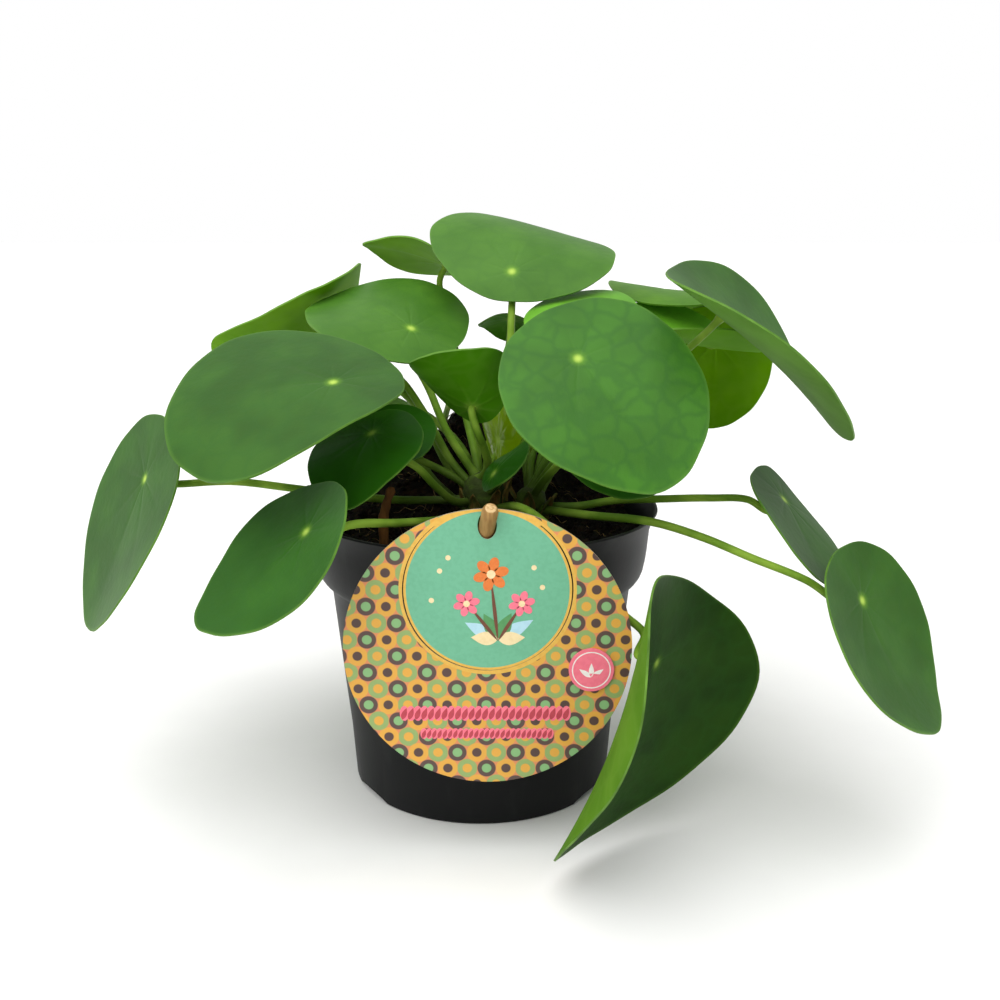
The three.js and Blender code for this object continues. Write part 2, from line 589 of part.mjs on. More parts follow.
// The round card, with a slit round its punched disc that leaves a bridge at the top.
function makeTag() {
  const card = new THREE.Shape(disc(TAG_CENTRE, TAG_RADIUS, TAG_RADIUS, TAG_SIDES));
  const hole = disc(PEG_HOLE, PEG_HOLE_HALF_WIDTH, PEG_HOLE_HALF_HEIGHT, PEG_HOLE_SIDES);
  card.holes.push(new THREE.Path(hole));
  const slit = new THREE.Path();
  const half = SLIT_BRIDGE_DEGREES / 2;
  const ring = [];
  for (const [radius, turn] of [[DISC_RADIUS + SLIT_WIDTH, 1], [DISC_RADIUS, -1]]) {
    for (let i = 0; i <= SLIT_STEPS; i += 1) {
      const share = turn > 0 ? i / SLIT_STEPS : 1 - i / SLIT_STEPS;
      const angle = radians(90 + half + (360 - 2 * half) * share);
      ring.push(new THREE.Vector2(
        DISC_CENTRE[0] + radius * Math.cos(angle),
        DISC_CENTRE[1] + radius * Math.sin(angle),
      ));
    }
  }
  slit.setFromPoints(ring);
  card.holes.push(slit);
  addPiece('tag_card', plate(card, TAG_BACK, TAG_THICKNESS), 'card');
  const round = new THREE.Shape(disc(STICKER_CENTRE, STICKER_RADIUS, STICKER_RADIUS, STICKER_SIDES));
  const front = TAG_BACK - TAG_THICKNESS - GAP;
  addPiece('tag_sticker', plate(round, front, STICKER_THICKNESS), 'sticker');
  addPiece('tag_peg', pegSolid(0), 'wood');
}

makePot();
makeSoil();
makeStems();
LEAVES.forEach(makeLeaf);
makeTag();
addPiece('dry_stalk', twigSolid(0), 'twig');

export default model;
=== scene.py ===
"""A Chinese money plant in its nursery pot, with a round card tag on a wooden peg.

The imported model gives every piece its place. Each piece here is a finer one of the same
form: leaves with veins, taper and a pale seat, a smooth pot, loose soil with roots, and a
printed card. Sizes are millimetres until `MM` turns them to metres.
"""

import logging
import math
import random
from collections.abc import Iterable
from dataclasses import dataclass, field
from enum import Enum

import bpy
from mathutils import Matrix, Vector, noise

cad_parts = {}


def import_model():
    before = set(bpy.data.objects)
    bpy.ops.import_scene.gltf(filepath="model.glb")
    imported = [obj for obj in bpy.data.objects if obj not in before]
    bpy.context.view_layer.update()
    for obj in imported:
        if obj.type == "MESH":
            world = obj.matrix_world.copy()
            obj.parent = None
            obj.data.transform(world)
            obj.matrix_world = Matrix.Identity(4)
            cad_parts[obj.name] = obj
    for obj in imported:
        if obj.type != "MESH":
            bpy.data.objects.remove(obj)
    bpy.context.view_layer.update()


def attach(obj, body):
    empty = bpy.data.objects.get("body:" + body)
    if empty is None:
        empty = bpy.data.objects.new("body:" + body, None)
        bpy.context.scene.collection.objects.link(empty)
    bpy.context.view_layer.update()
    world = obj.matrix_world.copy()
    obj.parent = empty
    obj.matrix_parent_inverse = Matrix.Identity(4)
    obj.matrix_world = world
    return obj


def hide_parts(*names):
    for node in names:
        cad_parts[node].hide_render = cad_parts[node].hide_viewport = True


MM = 0.001
log = logging.getLogger("money_plant")

Point = tuple[float, float, float]
Flat = tuple[float, float]
Pair = tuple[float, float]
Colour = tuple[float, float, float, float]
Socket = bpy.types.NodeSocket
Tree = bpy.types.NodeTree


def linear(colour: str) -> Colour:
    """Turn an sRGB hex colour into linear values.

    Args:
        colour: six hex digits, such as "4f8a35".

    Returns:
        Red, green, blue and a full alpha.
    """
    channels = [int(colour[i:i + 2], 16) / 255 for i in (0, 2, 4)]
    bent = [c / 12.92 if c <= 0.04045 else ((c + 0.055) / 1.055) ** 2.4 for c in channels]
    return (bent[0], bent[1], bent[2], 1.0)


def add_node(tree: Tree, kind: str, inputs: dict | None = None, out: int | str = 0,
             **settings: object) -> Socket:
    """Add one shader node with its settings and links.

    Args:
        tree: the material's node tree.
        kind: the node's type without "ShaderNode".
        inputs: values or output sockets, by the input's name or number.
        out: the output to hand back, by name or number.
        settings: properties of the node.

    Returns:
        The chosen output's socket.
    """
    node = tree.nodes.new("ShaderNode" + kind)
    for name, value in settings.items():
        setattr(node, name, value)
    for name, value in (inputs or {}).items():
        if isinstance(value, Socket):
            tree.links.new(value, node.inputs[name])
        else:
            node.inputs[name].default_value = value
    return node.outputs[out]


def deselect() -> None:
    """Leave nothing selected and nothing active."""
    bpy.ops.object.select_all(action="DESELECT")
    bpy.context.view_layer.objects.active = None


def take(piece: bpy.types.Object) -> None:
    """Make a piece the only one selected and the active one."""
    deselect()
    piece.select_set(True)
    bpy.context.view_layer.objects.active = piece


def settle(piece: bpy.types.Object) -> None:
    """Put a piece's place, turn and size into its mesh."""
    take(piece)
    bpy.ops.object.transform_apply(location=True, rotation=True, scale=True)


def coat(piece: bpy.types.Object, *materials: bpy.types.Material) -> None:
    """Give a piece these material slots and no others."""
    piece.data.materials.clear()
    for material in materials:
        piece.data.materials.append(material)


def keep_modifier(piece: bpy.types.Object, kind: str, **settings: object) -> None:
    """Add a modifier and apply it.

    Args:
        piece: the object to shape.
        kind: the modifier's type.
        settings: its properties.
    """
    take(piece)
    modifier = piece.modifiers.new(kind.title(), kind)
    for name, value in settings.items():
        setattr(modifier, name, value)
    bpy.ops.object.modifier_apply(modifier=modifier.name)


def smooth(piece: bpy.types.Object, degrees: float) -> None:
    """Shade a piece smooth except over edges sharper than an angle."""
    take(piece)
    bpy.ops.object.shade_smooth_by_angle(angle=math.radians(degrees))


def face_outwards(piece: bpy.types.Object) -> None:
    """Merge doubles and point every face of a closed piece outwards."""
    take(piece)
    bpy.ops.object.mode_set(mode="EDIT")
    bpy.ops.mesh.select_all(action="SELECT")
    bpy.ops.mesh.remove_doubles(threshold=1e-6)
    bpy.ops.mesh.normals_make_consistent(inside=False)
    bpy.ops.object.mode_set(mode="OBJECT")


def copy_of(piece: bpy.types.Object) -> bpy.types.Object:
    """Copy an object with a mesh of its own."""
    copy = piece.copy()
    copy.data = piece.data.copy()
    bpy.context.collection.objects.link(copy)
    return copy


def join(name: str, pieces: list[bpy.types.Object]) -> bpy.types.Object:
    """Join several objects into one named piece.

    Args:
        name: the joined object's name.
        pieces: the objects, the first of which is kept.

    Returns:
        The joined object.
    """
    deselect()
    for piece in pieces:
        piece.select_set(True)
    bpy.context.view_layer.objects.active = pieces[0]
    if len(pieces) > 1:
        bpy.ops.object.join()
    pieces[0].name = name
    return pieces[0]


def ring_up(rings: list[Flat], sides: int, name: str, capped: bool = True) -> bpy.types.Object:
    """Raise a round piece ring by ring from a circle, by extruding and resizing its edge.

    Args:
        rings: radius and height of each ring, in mm.
        sides: how many sides the rings have.
        name: the object's name.
        capped: whether the first and the last ring are closed with a face.

    Returns:
        The object, at the origin.
    """
    deselect()
    radius, height = rings[0]
    bpy.ops.mesh.primitive_circle_add(
        vertices=sides, radius=radius * MM, fill_type="NGON" if capped else "NOTHING",
        location=(0, 0, height * MM))
    piece = bpy.context.active_object
    piece.name = name
    settle(piece)
    bpy.ops.object.mode_set(mode="EDIT")
    bpy.ops.mesh.select_all(action="SELECT")
    for next_radius, next_height in rings[1:]:
        rise = (0, 0, (next_height - height) * MM)
        bpy.ops.mesh.extrude_edges_move(TRANSFORM_OT_translate={"value": rise})
        ratio = next_radius / radius
        bpy.ops.transform.resize(value=(ratio, ratio, 1), center_override=(0, 0, 0))
        radius, height = next_radius, next_height
    if capped:
        bpy.ops.mesh.edge_face_add()
    bpy.ops.object.mode_set(mode="OBJECT")
    return piece


def strands(name: str, paths: list[list[Vector]], radii: list[list[float]],
            roundness: int) -> bpy.types.Object:
    """Make round strands along paths, as one mesh.

    Args:
        name: the object's name.
        paths: the points of each strand, in mm.
        radii: the radius at each point, in mm.
        roundness: how finely the section is rounded.

    Returns:
        The mesh object.
    """
    deselect()
    bpy.ops.curve.primitive_nurbs_path_add()
    piece = bpy.context.active_object
    piece.name = name
    curve = piece.data
    curve.splines.clear()
    curve.dimensions = "3D"
    curve.bevel_depth = MM
    curve.bevel_resolution = roundness
    curve.use_fill_caps = True
    for points, widths in zip(paths, radii):
        spline = curve.splines.new("POLY")
        spline.points.add(len(points) - 1)
        for spot, point, width in zip(spline.points, points, widths):
            spot.co = (*(point * MM), 1)
            spot.radius = width
    take(piece)
    bpy.ops.object.convert(target="MESH")
    bpy.ops.object.shade_smooth()
    settle(piece)
    return piece


def through(points: list[Vector], steps: int) -> list[Vector]:
    """Lead a smooth centripetal curve through points.

    Args:
        points: the points to pass through.
        steps: how many steps each stretch has.

    Returns:
        The points of the curve.
    """
    ends = [2 * points[0] - points[1], *points, 2 * points[-1] - points[-2]]
    curve = []
    for before, start, end, after in zip(ends, ends[1:], ends[2:], ends[3:]):
        first, middle, last = [max((b - a).length ** 0.5, 1e-4)
                               for a, b in ((before, start), (start, end), (end, after))]
        out = ((start - before) / first - (end - before) / (first + middle)
               + (end - start) / middle) * middle
        back = ((end - start) / middle - (after - start) / (middle + last)
                + (after - end) / last) * middle
        for i in range(steps):
            t = i / steps
            curve.append(start * (2 * t**3 - 3 * t**2 + 1) + out * (t**3 - 2 * t**2 + t)
                         + end * (3 * t**2 - 2 * t**3) + back * (t**3 - t**2))
    return [*curve, points[-1]]


def hand_over(piece: bpy.types.Object, slot: str, *nodes: str) -> None:
    """Attach a finished piece to the root, hide the CAD nodes it stands for, and log it.

    Args:
        piece: the finished object.
        slot: not used.
        nodes: the CAD nodes it replaces, if any.
    """
    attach(piece, "root")
    if nodes:
        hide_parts(*nodes)
    log.info("%s: %d faces, stands for %s", piece.name, len(piece.data.polygons), nodes)


def new_material(name: str) -> tuple[bpy.types.Material, Tree]:
    """Make a node material with only its output node.

    Args:
        name: the material's name.

    Returns:
        The material and its tree.
    """
    material = bpy.data.materials.new(name)
    material.use_nodes = True
    tree = material.node_tree
    tree.nodes.remove(tree.nodes["Principled BSDF"])
    return material, tree


def finish_surface(tree: Tree, relief: Socket | None = None, depth: float = 0.0,
                   **values: object) -> None:
    """Close a material with a Principled surface and, where given, a bump.

    Args:
        tree: the material's node tree.
        relief: height of the bump, from 0 to 1.
        depth: the bump's depth, in mm.
        values: the Principled node's inputs, with _ for each space in their names.
    """
    inputs = {name.replace("_", " "): value for name, value in values.items()}
    if relief is not None:
        inputs["Normal"] = add_node(tree, "Bump", {"Height": relief, "Distance": depth * MM})
    surface = add_node(tree, "BsdfPrincipled", inputs)
    tree.links.new(surface, tree.nodes["Material Output"].inputs["Surface"])


class Tone(Enum):
    """How old a leaf looks, and how much light or shade is painted into it: some tones are
    darker copies standing in for shade, some brighter ones standing in for light coming through
    the leaf.
    """

    BRIGHT = "bright"
    MATURE = "mature"
    NETTED = "netted"
    DEEP = "deep"
    SHADED = "shaded"
    PAINTED_SHADE = "painted_shade"
    BACKLIT = "backlit"
    PAINTED_LIT = "painted_lit"
    YOUNG = "young"


@dataclass(frozen=True)
class LeafColours:
    """Colours of one tone of leaf, and how strong its net, its wax and its seat are."""

    face: str
    patch: str
    vein: str
    under: str
    under_patch: str
    net: float
    roughness: float
    wax: float
    seat: float


LEAF_COLOURS: dict[Tone, LeafColours] = {
    Tone.BRIGHT: LeafColours("477522", "3a6719", "76a544", "567b22", "45701a",
                             0.12, 0.45, 0.22, 0.80),
    Tone.MATURE: LeafColours("345e1a", "294e13", "5f8c40", "5a882a", "4a761c",
                             0.16, 0.45, 0.20, 0.80),
    Tone.NETTED: LeafColours("3c701c", "326018", "6a9c3c", "5a8a2c", "48761c",
                             0.34, 0.45, 0.22, 0.80),
    Tone.DEEP: LeafColours("2e5d16", "24500f", "548438", "3e7607", "336405",
                           0.15, 0.42, 0.17, 0.75),
    Tone.SHADED: LeafColours("23540a", "1a4607", "3a6622", "557f20", "446e16",
                             0.10, 0.40, 0.08, 0.35),
    # Painted shade: a darker copy of the shaded leaf colours, for the big front leaf that lies
    # in shade.
    Tone.PAINTED_SHADE: LeafColours("213f0c", "18320a", "3a6622", "557f20", "446e16",
                            0.10, 0.42, 0.06, 0.35),
    Tone.BACKLIT: LeafColours("4f7d14", "3f6c10", "6ea63a", "649906", "518406",
                              0.10, 0.48, 0.20, 0.50),
    # Painted light: a brighter copy of the leaf colours, for one leaf lit through from behind
    # and one lying in a shadowed pocket.
    Tone.PAINTED_LIT: LeafColours("66a428", "569322", "88bc40", "5f980c", "4f840a",
                            0.08, 0.48, 0.20, 0.60),
    Tone.YOUNG: LeafColours("6c8a02", "587602", "94b43a", "769a10", "65880a",
                            0.05, 0.16, 0.45, 0.30),
}


@dataclass(frozen=True)
class BladePattern:
    """Where a blade's veins, net, seat and rim lie, as sockets from 0 to 1."""

    ray: Socket
    net: Socket
    seat: Socket
    halo: Socket
    cloud: Socket
    rim: Socket


@dataclass(frozen=True)
class LeafFinish:
    """Fleshy leaf with a thin wax coat: satin face, faint rays from the seat, matt underside.

    Each width, radius and reach is where a mark has faded out; its core is where it is full.
    """

    tone: Tone
    sheet_mm: float = 100.0
    rays: float = 4.5
    ray_width: float = 0.7
    ray_reach: float = 15.0
    ray_core: float = 3.0
    ray_sway: float = 1.6
    sway_scale: float = 0.09
    seat_radius: float = 2.0
    seat_core: float = 0.2
    halo_radius: float = 3.6
    halo_core: float = 0.6
    cell_mm: float = 7.5
    vein_width: float = 0.2
    bend_mm: float = 2.4
    bend_scale: float = 0.16
    cloud_mm: float = 22.0
    cloud_range: Pair = (0.35, 0.65)
    rim_start: float = 0.972
    grain_mm: float = 2.2
    worn_mm: float = 6.0
    skin_depth: float = 0.1
    under_depth: float = 0.06
    ray_dip: float = 0.25
    cloud_strength: float = 0.8
    ray_strength: float = 0.03
    halo_share: float = 0.5
    rim_strength: float = 0.2
    under_cloud_strength: float = 0.7
    under_net_strength: float = 0.04
    under_ray_strength: float = 0.07
    under_halo_strength: float = 0.3
    seat_colour: str = "b4cf58"
    halo_colour: str = "7fb02e"
    net_colour: str = "22521c"
    rim_colour: str = "6f9a3c"
    under_net_colour: str = "8fae5c"
    under_ray_colour: str = "8aac4a"
    under_halo_colour: str = "8fb044"

    def pattern(self, tree: Tree) -> BladePattern:
        """Find where the veins and the seat lie, from the blade's own flat map.

        Args:
            tree: the material's node tree.

        Returns:
            The pattern's sockets.
        """
        flat = add_node(tree, "UVMap", uv_map="blade")
        centred = add_node(tree, "VectorMath", {0: flat, 1: (0.5, 0.5, 0)},
                           operation="SUBTRACT")
        spread = add_node(tree, "VectorMath", {0: centred, "Scale": self.sheet_mm},
                          operation="SCALE")
        wander = add_node(tree, "TexNoise", {"Vector": spread, "Scale": self.sway_scale})
        aside = add_node(tree, "SeparateXYZ", {0: spread}, out=1)
        ahead = add_node(tree, "SeparateXYZ", {0: spread}, out=0)
        distance = add_node(tree, "VectorMath", {0: spread}, out=1, operation="LENGTH")
        angle = add_node(tree, "Math", {0: aside, 1: ahead}, operation="ARCTAN2")
        sway = add_node(tree, "Math", {0: wander, 1: self.ray_sway, 2: -self.ray_sway / 2},
                        operation="MULTIPLY_ADD")
        turn = add_node(tree, "Math", {0: angle, 1: self.rays, 2: sway},
                        operation="MULTIPLY_ADD")
        wave = add_node(tree, "Math", {0: turn}, operation="SINE")
        height = add_node(tree, "Math", {0: wave}, operation="ABSOLUTE")
        across = add_node(tree, "Math", {0: height, 1: distance}, operation="MULTIPLY")
        line = add_node(tree, "MapRange", {0: across, 1: self.ray_width * self.rays, 2: 0.0},
                        interpolation_type="SMOOTHSTEP")
        reach = add_node(tree, "MapRange",
                         {0: distance, 1: self.ray_reach, 2: self.ray_core},
                         interpolation_type="SMOOTHSTEP")
        ray = add_node(tree, "Math", {0: line, 1: reach}, operation="MULTIPLY")
        bend = add_node(tree, "TexNoise",
                        {"Vector": spread, "Scale": self.bend_scale, "Detail": 2.0},
                        out="Color")
        bent = add_node(tree, "VectorMath",
                        {0: bend, 1: (self.bend_mm * 2,) * 3, 2: spread},
                        operation="MULTIPLY_ADD")
        cells = add_node(tree, "TexVoronoi", {"Vector": bent, "Scale": 1 / self.cell_mm},
                         feature="DISTANCE_TO_EDGE")
        net = add_node(tree, "MapRange", {0: cells, 1: self.vein_width, 2: 0.0},
                       interpolation_type="SMOOTHSTEP")
        seat = add_node(tree, "MapRange",
                        {0: distance, 1: self.seat_radius, 2: self.seat_core},
                        interpolation_type="SMOOTHSTEP")
        halo = add_node(tree, "MapRange",
                        {0: distance, 1: self.halo_radius, 2: self.halo_core},
                        interpolation_type="SMOOTHSTEP")
        mist = add_node(tree, "TexNoise", {"Vector": spread, "Scale": 1 / self.cloud_mm,
                                           "Detail": 2.0})
        cloud = add_node(tree, "MapRange",
                         {0: mist, 1: self.cloud_range[0], 2: self.cloud_range[1]},
                         interpolation_type="SMOOTHSTEP")
        share = add_node(tree, "Attribute", out="Fac", attribute_name="share")
        rim = add_node(tree, "MapRange", {0: share, 1: self.rim_start, 2: 1.0},
                       interpolation_type="SMOOTHSTEP")
        return BladePattern(ray, net, seat, halo, cloud, rim)

    def layered(self, tree: Tree, ground: str,
                layers: list[tuple[Socket, float, str]]) -> Socket | Colour:
        """Lay colours over a ground colour, each where its pattern says.

        Args:
            tree: the material's node tree.
            ground: the ground colour.
            layers: pattern socket, strength and colour of each layer.

        Returns:
            The layered colour's socket.
        """
        colour: Socket | Colour = linear(ground)
        for place, strength, tint in layers:
            share = add_node(tree, "Math", {0: place, 1: strength}, operation="MULTIPLY")
            colour = add_node(tree, "Mix", {0: share, 6: colour, 7: linear(tint)}, out=2,
                              data_type="RGBA")
        return colour

    def face(self) -> bpy.types.Material:
        """Make the upper face: satin wax, with faint rays, a soft net and a pale seat."""
        colours = LEAF_COLOURS[self.tone]
        material, tree = new_material(f"leaf_face_{self.tone.value}")
        lies = self.pattern(tree)
        colour = self.layered(tree, colours.face, [
            (lies.cloud, self.cloud_strength, colours.patch),
            (lies.net, colours.net, self.net_colour),
            (lies.ray, self.ray_strength, colours.vein),
            (lies.halo, colours.seat * self.halo_share, self.halo_colour),
            (lies.seat, colours.seat, self.seat_colour),
            (lies.rim, self.rim_strength, self.rim_colour)])
        place = add_node(tree, "TexCoord", out="Object")
        pores = add_node(tree, "TexNoise", {"Vector": place, "Scale": 1 / (self.grain_mm * MM),
                                            "Detail": 3.0})
        relief = add_node(tree, "Math", {0: lies.ray, 1: -self.ray_dip, 2: pores},
                          operation="MULTIPLY_ADD")
        finish_surface(tree, relief, self.skin_depth, Base_Color=colour,
                       Roughness=colours.roughness, IOR=1.42, Specular_IOR_Level=colours.wax)
        return material

    def underside(self) -> bpy.types.Material:
        """Make the underside: paler yellow-green, partly its own colour and partly painted light
        coming through it, with raised veins.
        """
        colours = LEAF_COLOURS[self.tone]
        material, tree = new_material(f"leaf_under_{self.tone.value}")
        lies = self.pattern(tree)
        colour = self.layered(tree, colours.under, [
            (lies.cloud, self.under_cloud_strength, colours.under_patch),
            (lies.net, self.under_net_strength, self.under_net_colour),
            (lies.ray, self.under_ray_strength, self.under_ray_colour),
            (lies.halo, self.under_halo_strength, self.under_halo_colour)])
        finish_surface(tree, lies.ray, self.under_depth, Base_Color=colour, Roughness=0.6,
                       IOR=1.4, Specular_IOR_Level=0.06)
        return material

    def edge(self) -> bpy.types.Material:
        """Make the thin pale rim that catches the light."""
        material, tree = new_material(f"leaf_edge_{self.tone.value}")
        place = add_node(tree, "TexCoord", out="Object")
        worn = add_node(tree, "TexNoise", {"Vector": place, "Scale": 1 / (self.worn_mm * MM)})
        colour = add_node(tree, "Mix", {0: worn, 6: linear(self.rim_colour),
                                        7: linear(LEAF_COLOURS[self.tone].face)},
                          out=2, data_type="RGBA")
        finish_surface(tree, Base_Color=colour, Roughness=0.5, Specular_IOR_Level=0.15)
        return material


@dataclass(frozen=True)
class MottledFinish:
    """A surface of two colours in patches, with a fine grain that catches the light.

    The real materials it stands for are named where it is used: polypropylene, peat, root,
    bark, birch, ink and paper.
    """

    name: str
    base: str
    patch: str
    patch_mm: float
    grain_mm: float
    grain_depth: float
    roughness: float
    specular: float = 0.3
    stretch: Point = (1, 1, 1)
    from_share: float = 0.4
    to_share: float = 0.65

    def make(self) -> bpy.types.Material:
        """Make the material on Object coordinates.

        Returns:
            The material.
        """
        material, tree = new_material(self.name)
        place = add_node(tree, "TexCoord", out="Object")
        drawn = add_node(tree, "Mapping", {"Vector": place, "Scale": self.stretch})
        blots = add_node(tree, "TexNoise", {"Vector": drawn, "Scale": 1 / (self.patch_mm * MM),
                                            "Detail": 4.0})
        share = add_node(tree, "MapRange", {0: blots, 1: self.from_share, 2: self.to_share},
                         interpolation_type="SMOOTHSTEP")
        colour = add_node(tree, "Mix", {0: share, 6: linear(self.base), 7: linear(self.patch)},
                          out=2, data_type="RGBA")
        grit = add_node(tree, "TexNoise", {"Vector": drawn, "Scale": 1 / (self.grain_mm * MM),
                                           "Detail": 5.0})
        finish_surface(tree, grit, self.grain_depth, Base_Color=colour,
                       Roughness=self.roughness, Specular_IOR_Level=self.specular)
        return material


# Injection-moulded polypropylene, dark grey: satin, with faint scuffs drawn along its wall.
POT_PLASTIC = MottledFinish("moulded_polypropylene", "0e0f10", "1b1d1d", 9, 0.8, 0.02, 0.46,
                            specular=0.15, stretch=(1, 1, 0.35), from_share=0.5, to_share=0.8)
# Peat mix: nearly black, crumbly and quite matt, with brown bits.
PEAT = MottledFinish("peat_crumb", "0c0806", "2a1c11", 2.6, 1.1, 0.9, 0.95, specular=0.15,
                     from_share=0.45, to_share=0.72)
# Fine roots: dry, pale brown and dull, darker where they are damp.
ROOT = MottledFinish("fine_root", "7d6645", "463523", 4, 1, 0.1, 0.9, specular=0.15)
# Peat fibres: dark brown, wiry and dull.
PEAT_FIBRE = MottledFinish("peat_fibre", "1d130c", "33241a", 3, 1, 0.1, 0.9, specular=0.15)
# Young stem: green bark, matt and darker in bands round it.
BARK = MottledFinish("young_stem_bark", "3f5416", "2e3a10", 5, 1.2, 0.25, 0.75,
                     specular=0.2, stretch=(1, 1, 2.2), from_share=0.35, to_share=0.6)
# Stipules: thin dry scales, brown and papery with long streaks.
STIPULE = MottledFinish("papery_stipule", "6b5526", "3f4a1c", 3, 0.8, 0.1, 0.7,
                        specular=0.2, stretch=(1, 1, 0.3))
# Dry leaf stalk: brown, dull, streaked along its length.
DRY_STALK = MottledFinish("dry_leaf_stalk", "6d4822", "3a2411", 3, 1, 0.2, 0.9,
                          specular=0.15, stretch=(1, 1, 0.25), from_share=0.35)
# Turned birch: pale wood, matt, with fine lines along the peg.
BIRCH = MottledFinish("turned_birch", "a88450", "8f6d3f", 1.3, 0.6, 0.06, 0.65,
                      specular=0.2, stretch=(1, 0.15, 0.15), from_share=0.35)
# Sawn birch: the peg's paler, rougher end grain.
BIRCH_END = MottledFinish("sawn_birch_end", "cdaf80", "a98655", 0.9, 0.4, 0.08, 0.85,
                          specular=0.15)
# Card core: tan pulp, dull, at the cut edges and on the back.
CARD_CORE = MottledFinish("card_core", "b8a88c", "a09078", 2.5, 0.5, 0.03, 0.85)
# Pale floor: an even, matt studio surface.
PALE_FLOOR = MottledFinish("pale_floor", "ececea", "e8e8e6", 90, 40, 0.01, 0.95,
                           specular=0.1)


@dataclass(frozen=True)
class StalkFinish:
    """Juicy leaf stalk: smooth skin, yellow-green in the light and darker near its foot."""

    green: str = "5c8022"
    pale: str = "7fa036"
    foot: str = "3b4d1a"
    patch_mm: float = 12.0
    patch_range: Pair = (0.4, 0.62)
    pore_mm: float = 1.5
    skin_depth: float = 0.06
    foot_far: float = 46.0
    foot_near: float = 12.0
    foot_top: float = 122.0
    foot_end: float = 98.0

    def make(self) -> bpy.types.Material:
        """Make the stalk's material.

        Returns:
            The material.
        """
        material, tree = new_material("leaf_stalk_skin")
        place = add_node(tree, "TexCoord", out="Object")
        blots = add_node(tree, "TexNoise", {"Vector": place, "Scale": 1 / (self.patch_mm * MM),
                                            "Detail": 2.0})
        share = add_node(tree, "MapRange",
                         {0: blots, 1: self.patch_range[0], 2: self.patch_range[1]},
                         interpolation_type="SMOOTHSTEP")
        skin = add_node(tree, "Mix", {0: share, 6: linear(self.green), 7: linear(self.pale)},
                        out=2, data_type="RGBA")
        aside = add_node(tree, "VectorMath", {0: place, 1: (1, 1, 0)}, operation="MULTIPLY")
        away = add_node(tree, "VectorMath", {0: aside}, out=1, operation="LENGTH")
        foot = add_node(tree, "MapRange",
                        {0: away, 1: self.foot_far * MM, 2: self.foot_near * MM},
                        interpolation_type="SMOOTHSTEP")
        height = add_node(tree, "SeparateXYZ", {0: place}, out=2)
        low = add_node(tree, "MapRange",
                       {0: height, 1: self.foot_top * MM, 2: self.foot_end * MM},
                       interpolation_type="SMOOTHSTEP")
        dark = add_node(tree, "Math", {0: foot, 1: low}, operation="MULTIPLY")
        colour = add_node(tree, "Mix", {0: dark, 6: skin, 7: linear(self.foot)}, out=2,
                          data_type="RGBA")
        pores = add_node(tree, "TexNoise", {"Vector": place, "Scale": 1 / (self.pore_mm * MM)})
        finish_surface(tree, pores, self.skin_depth, Base_Color=colour, Roughness=0.5,
                       IOR=1.42, Specular_IOR_Level=0.12)
        return material


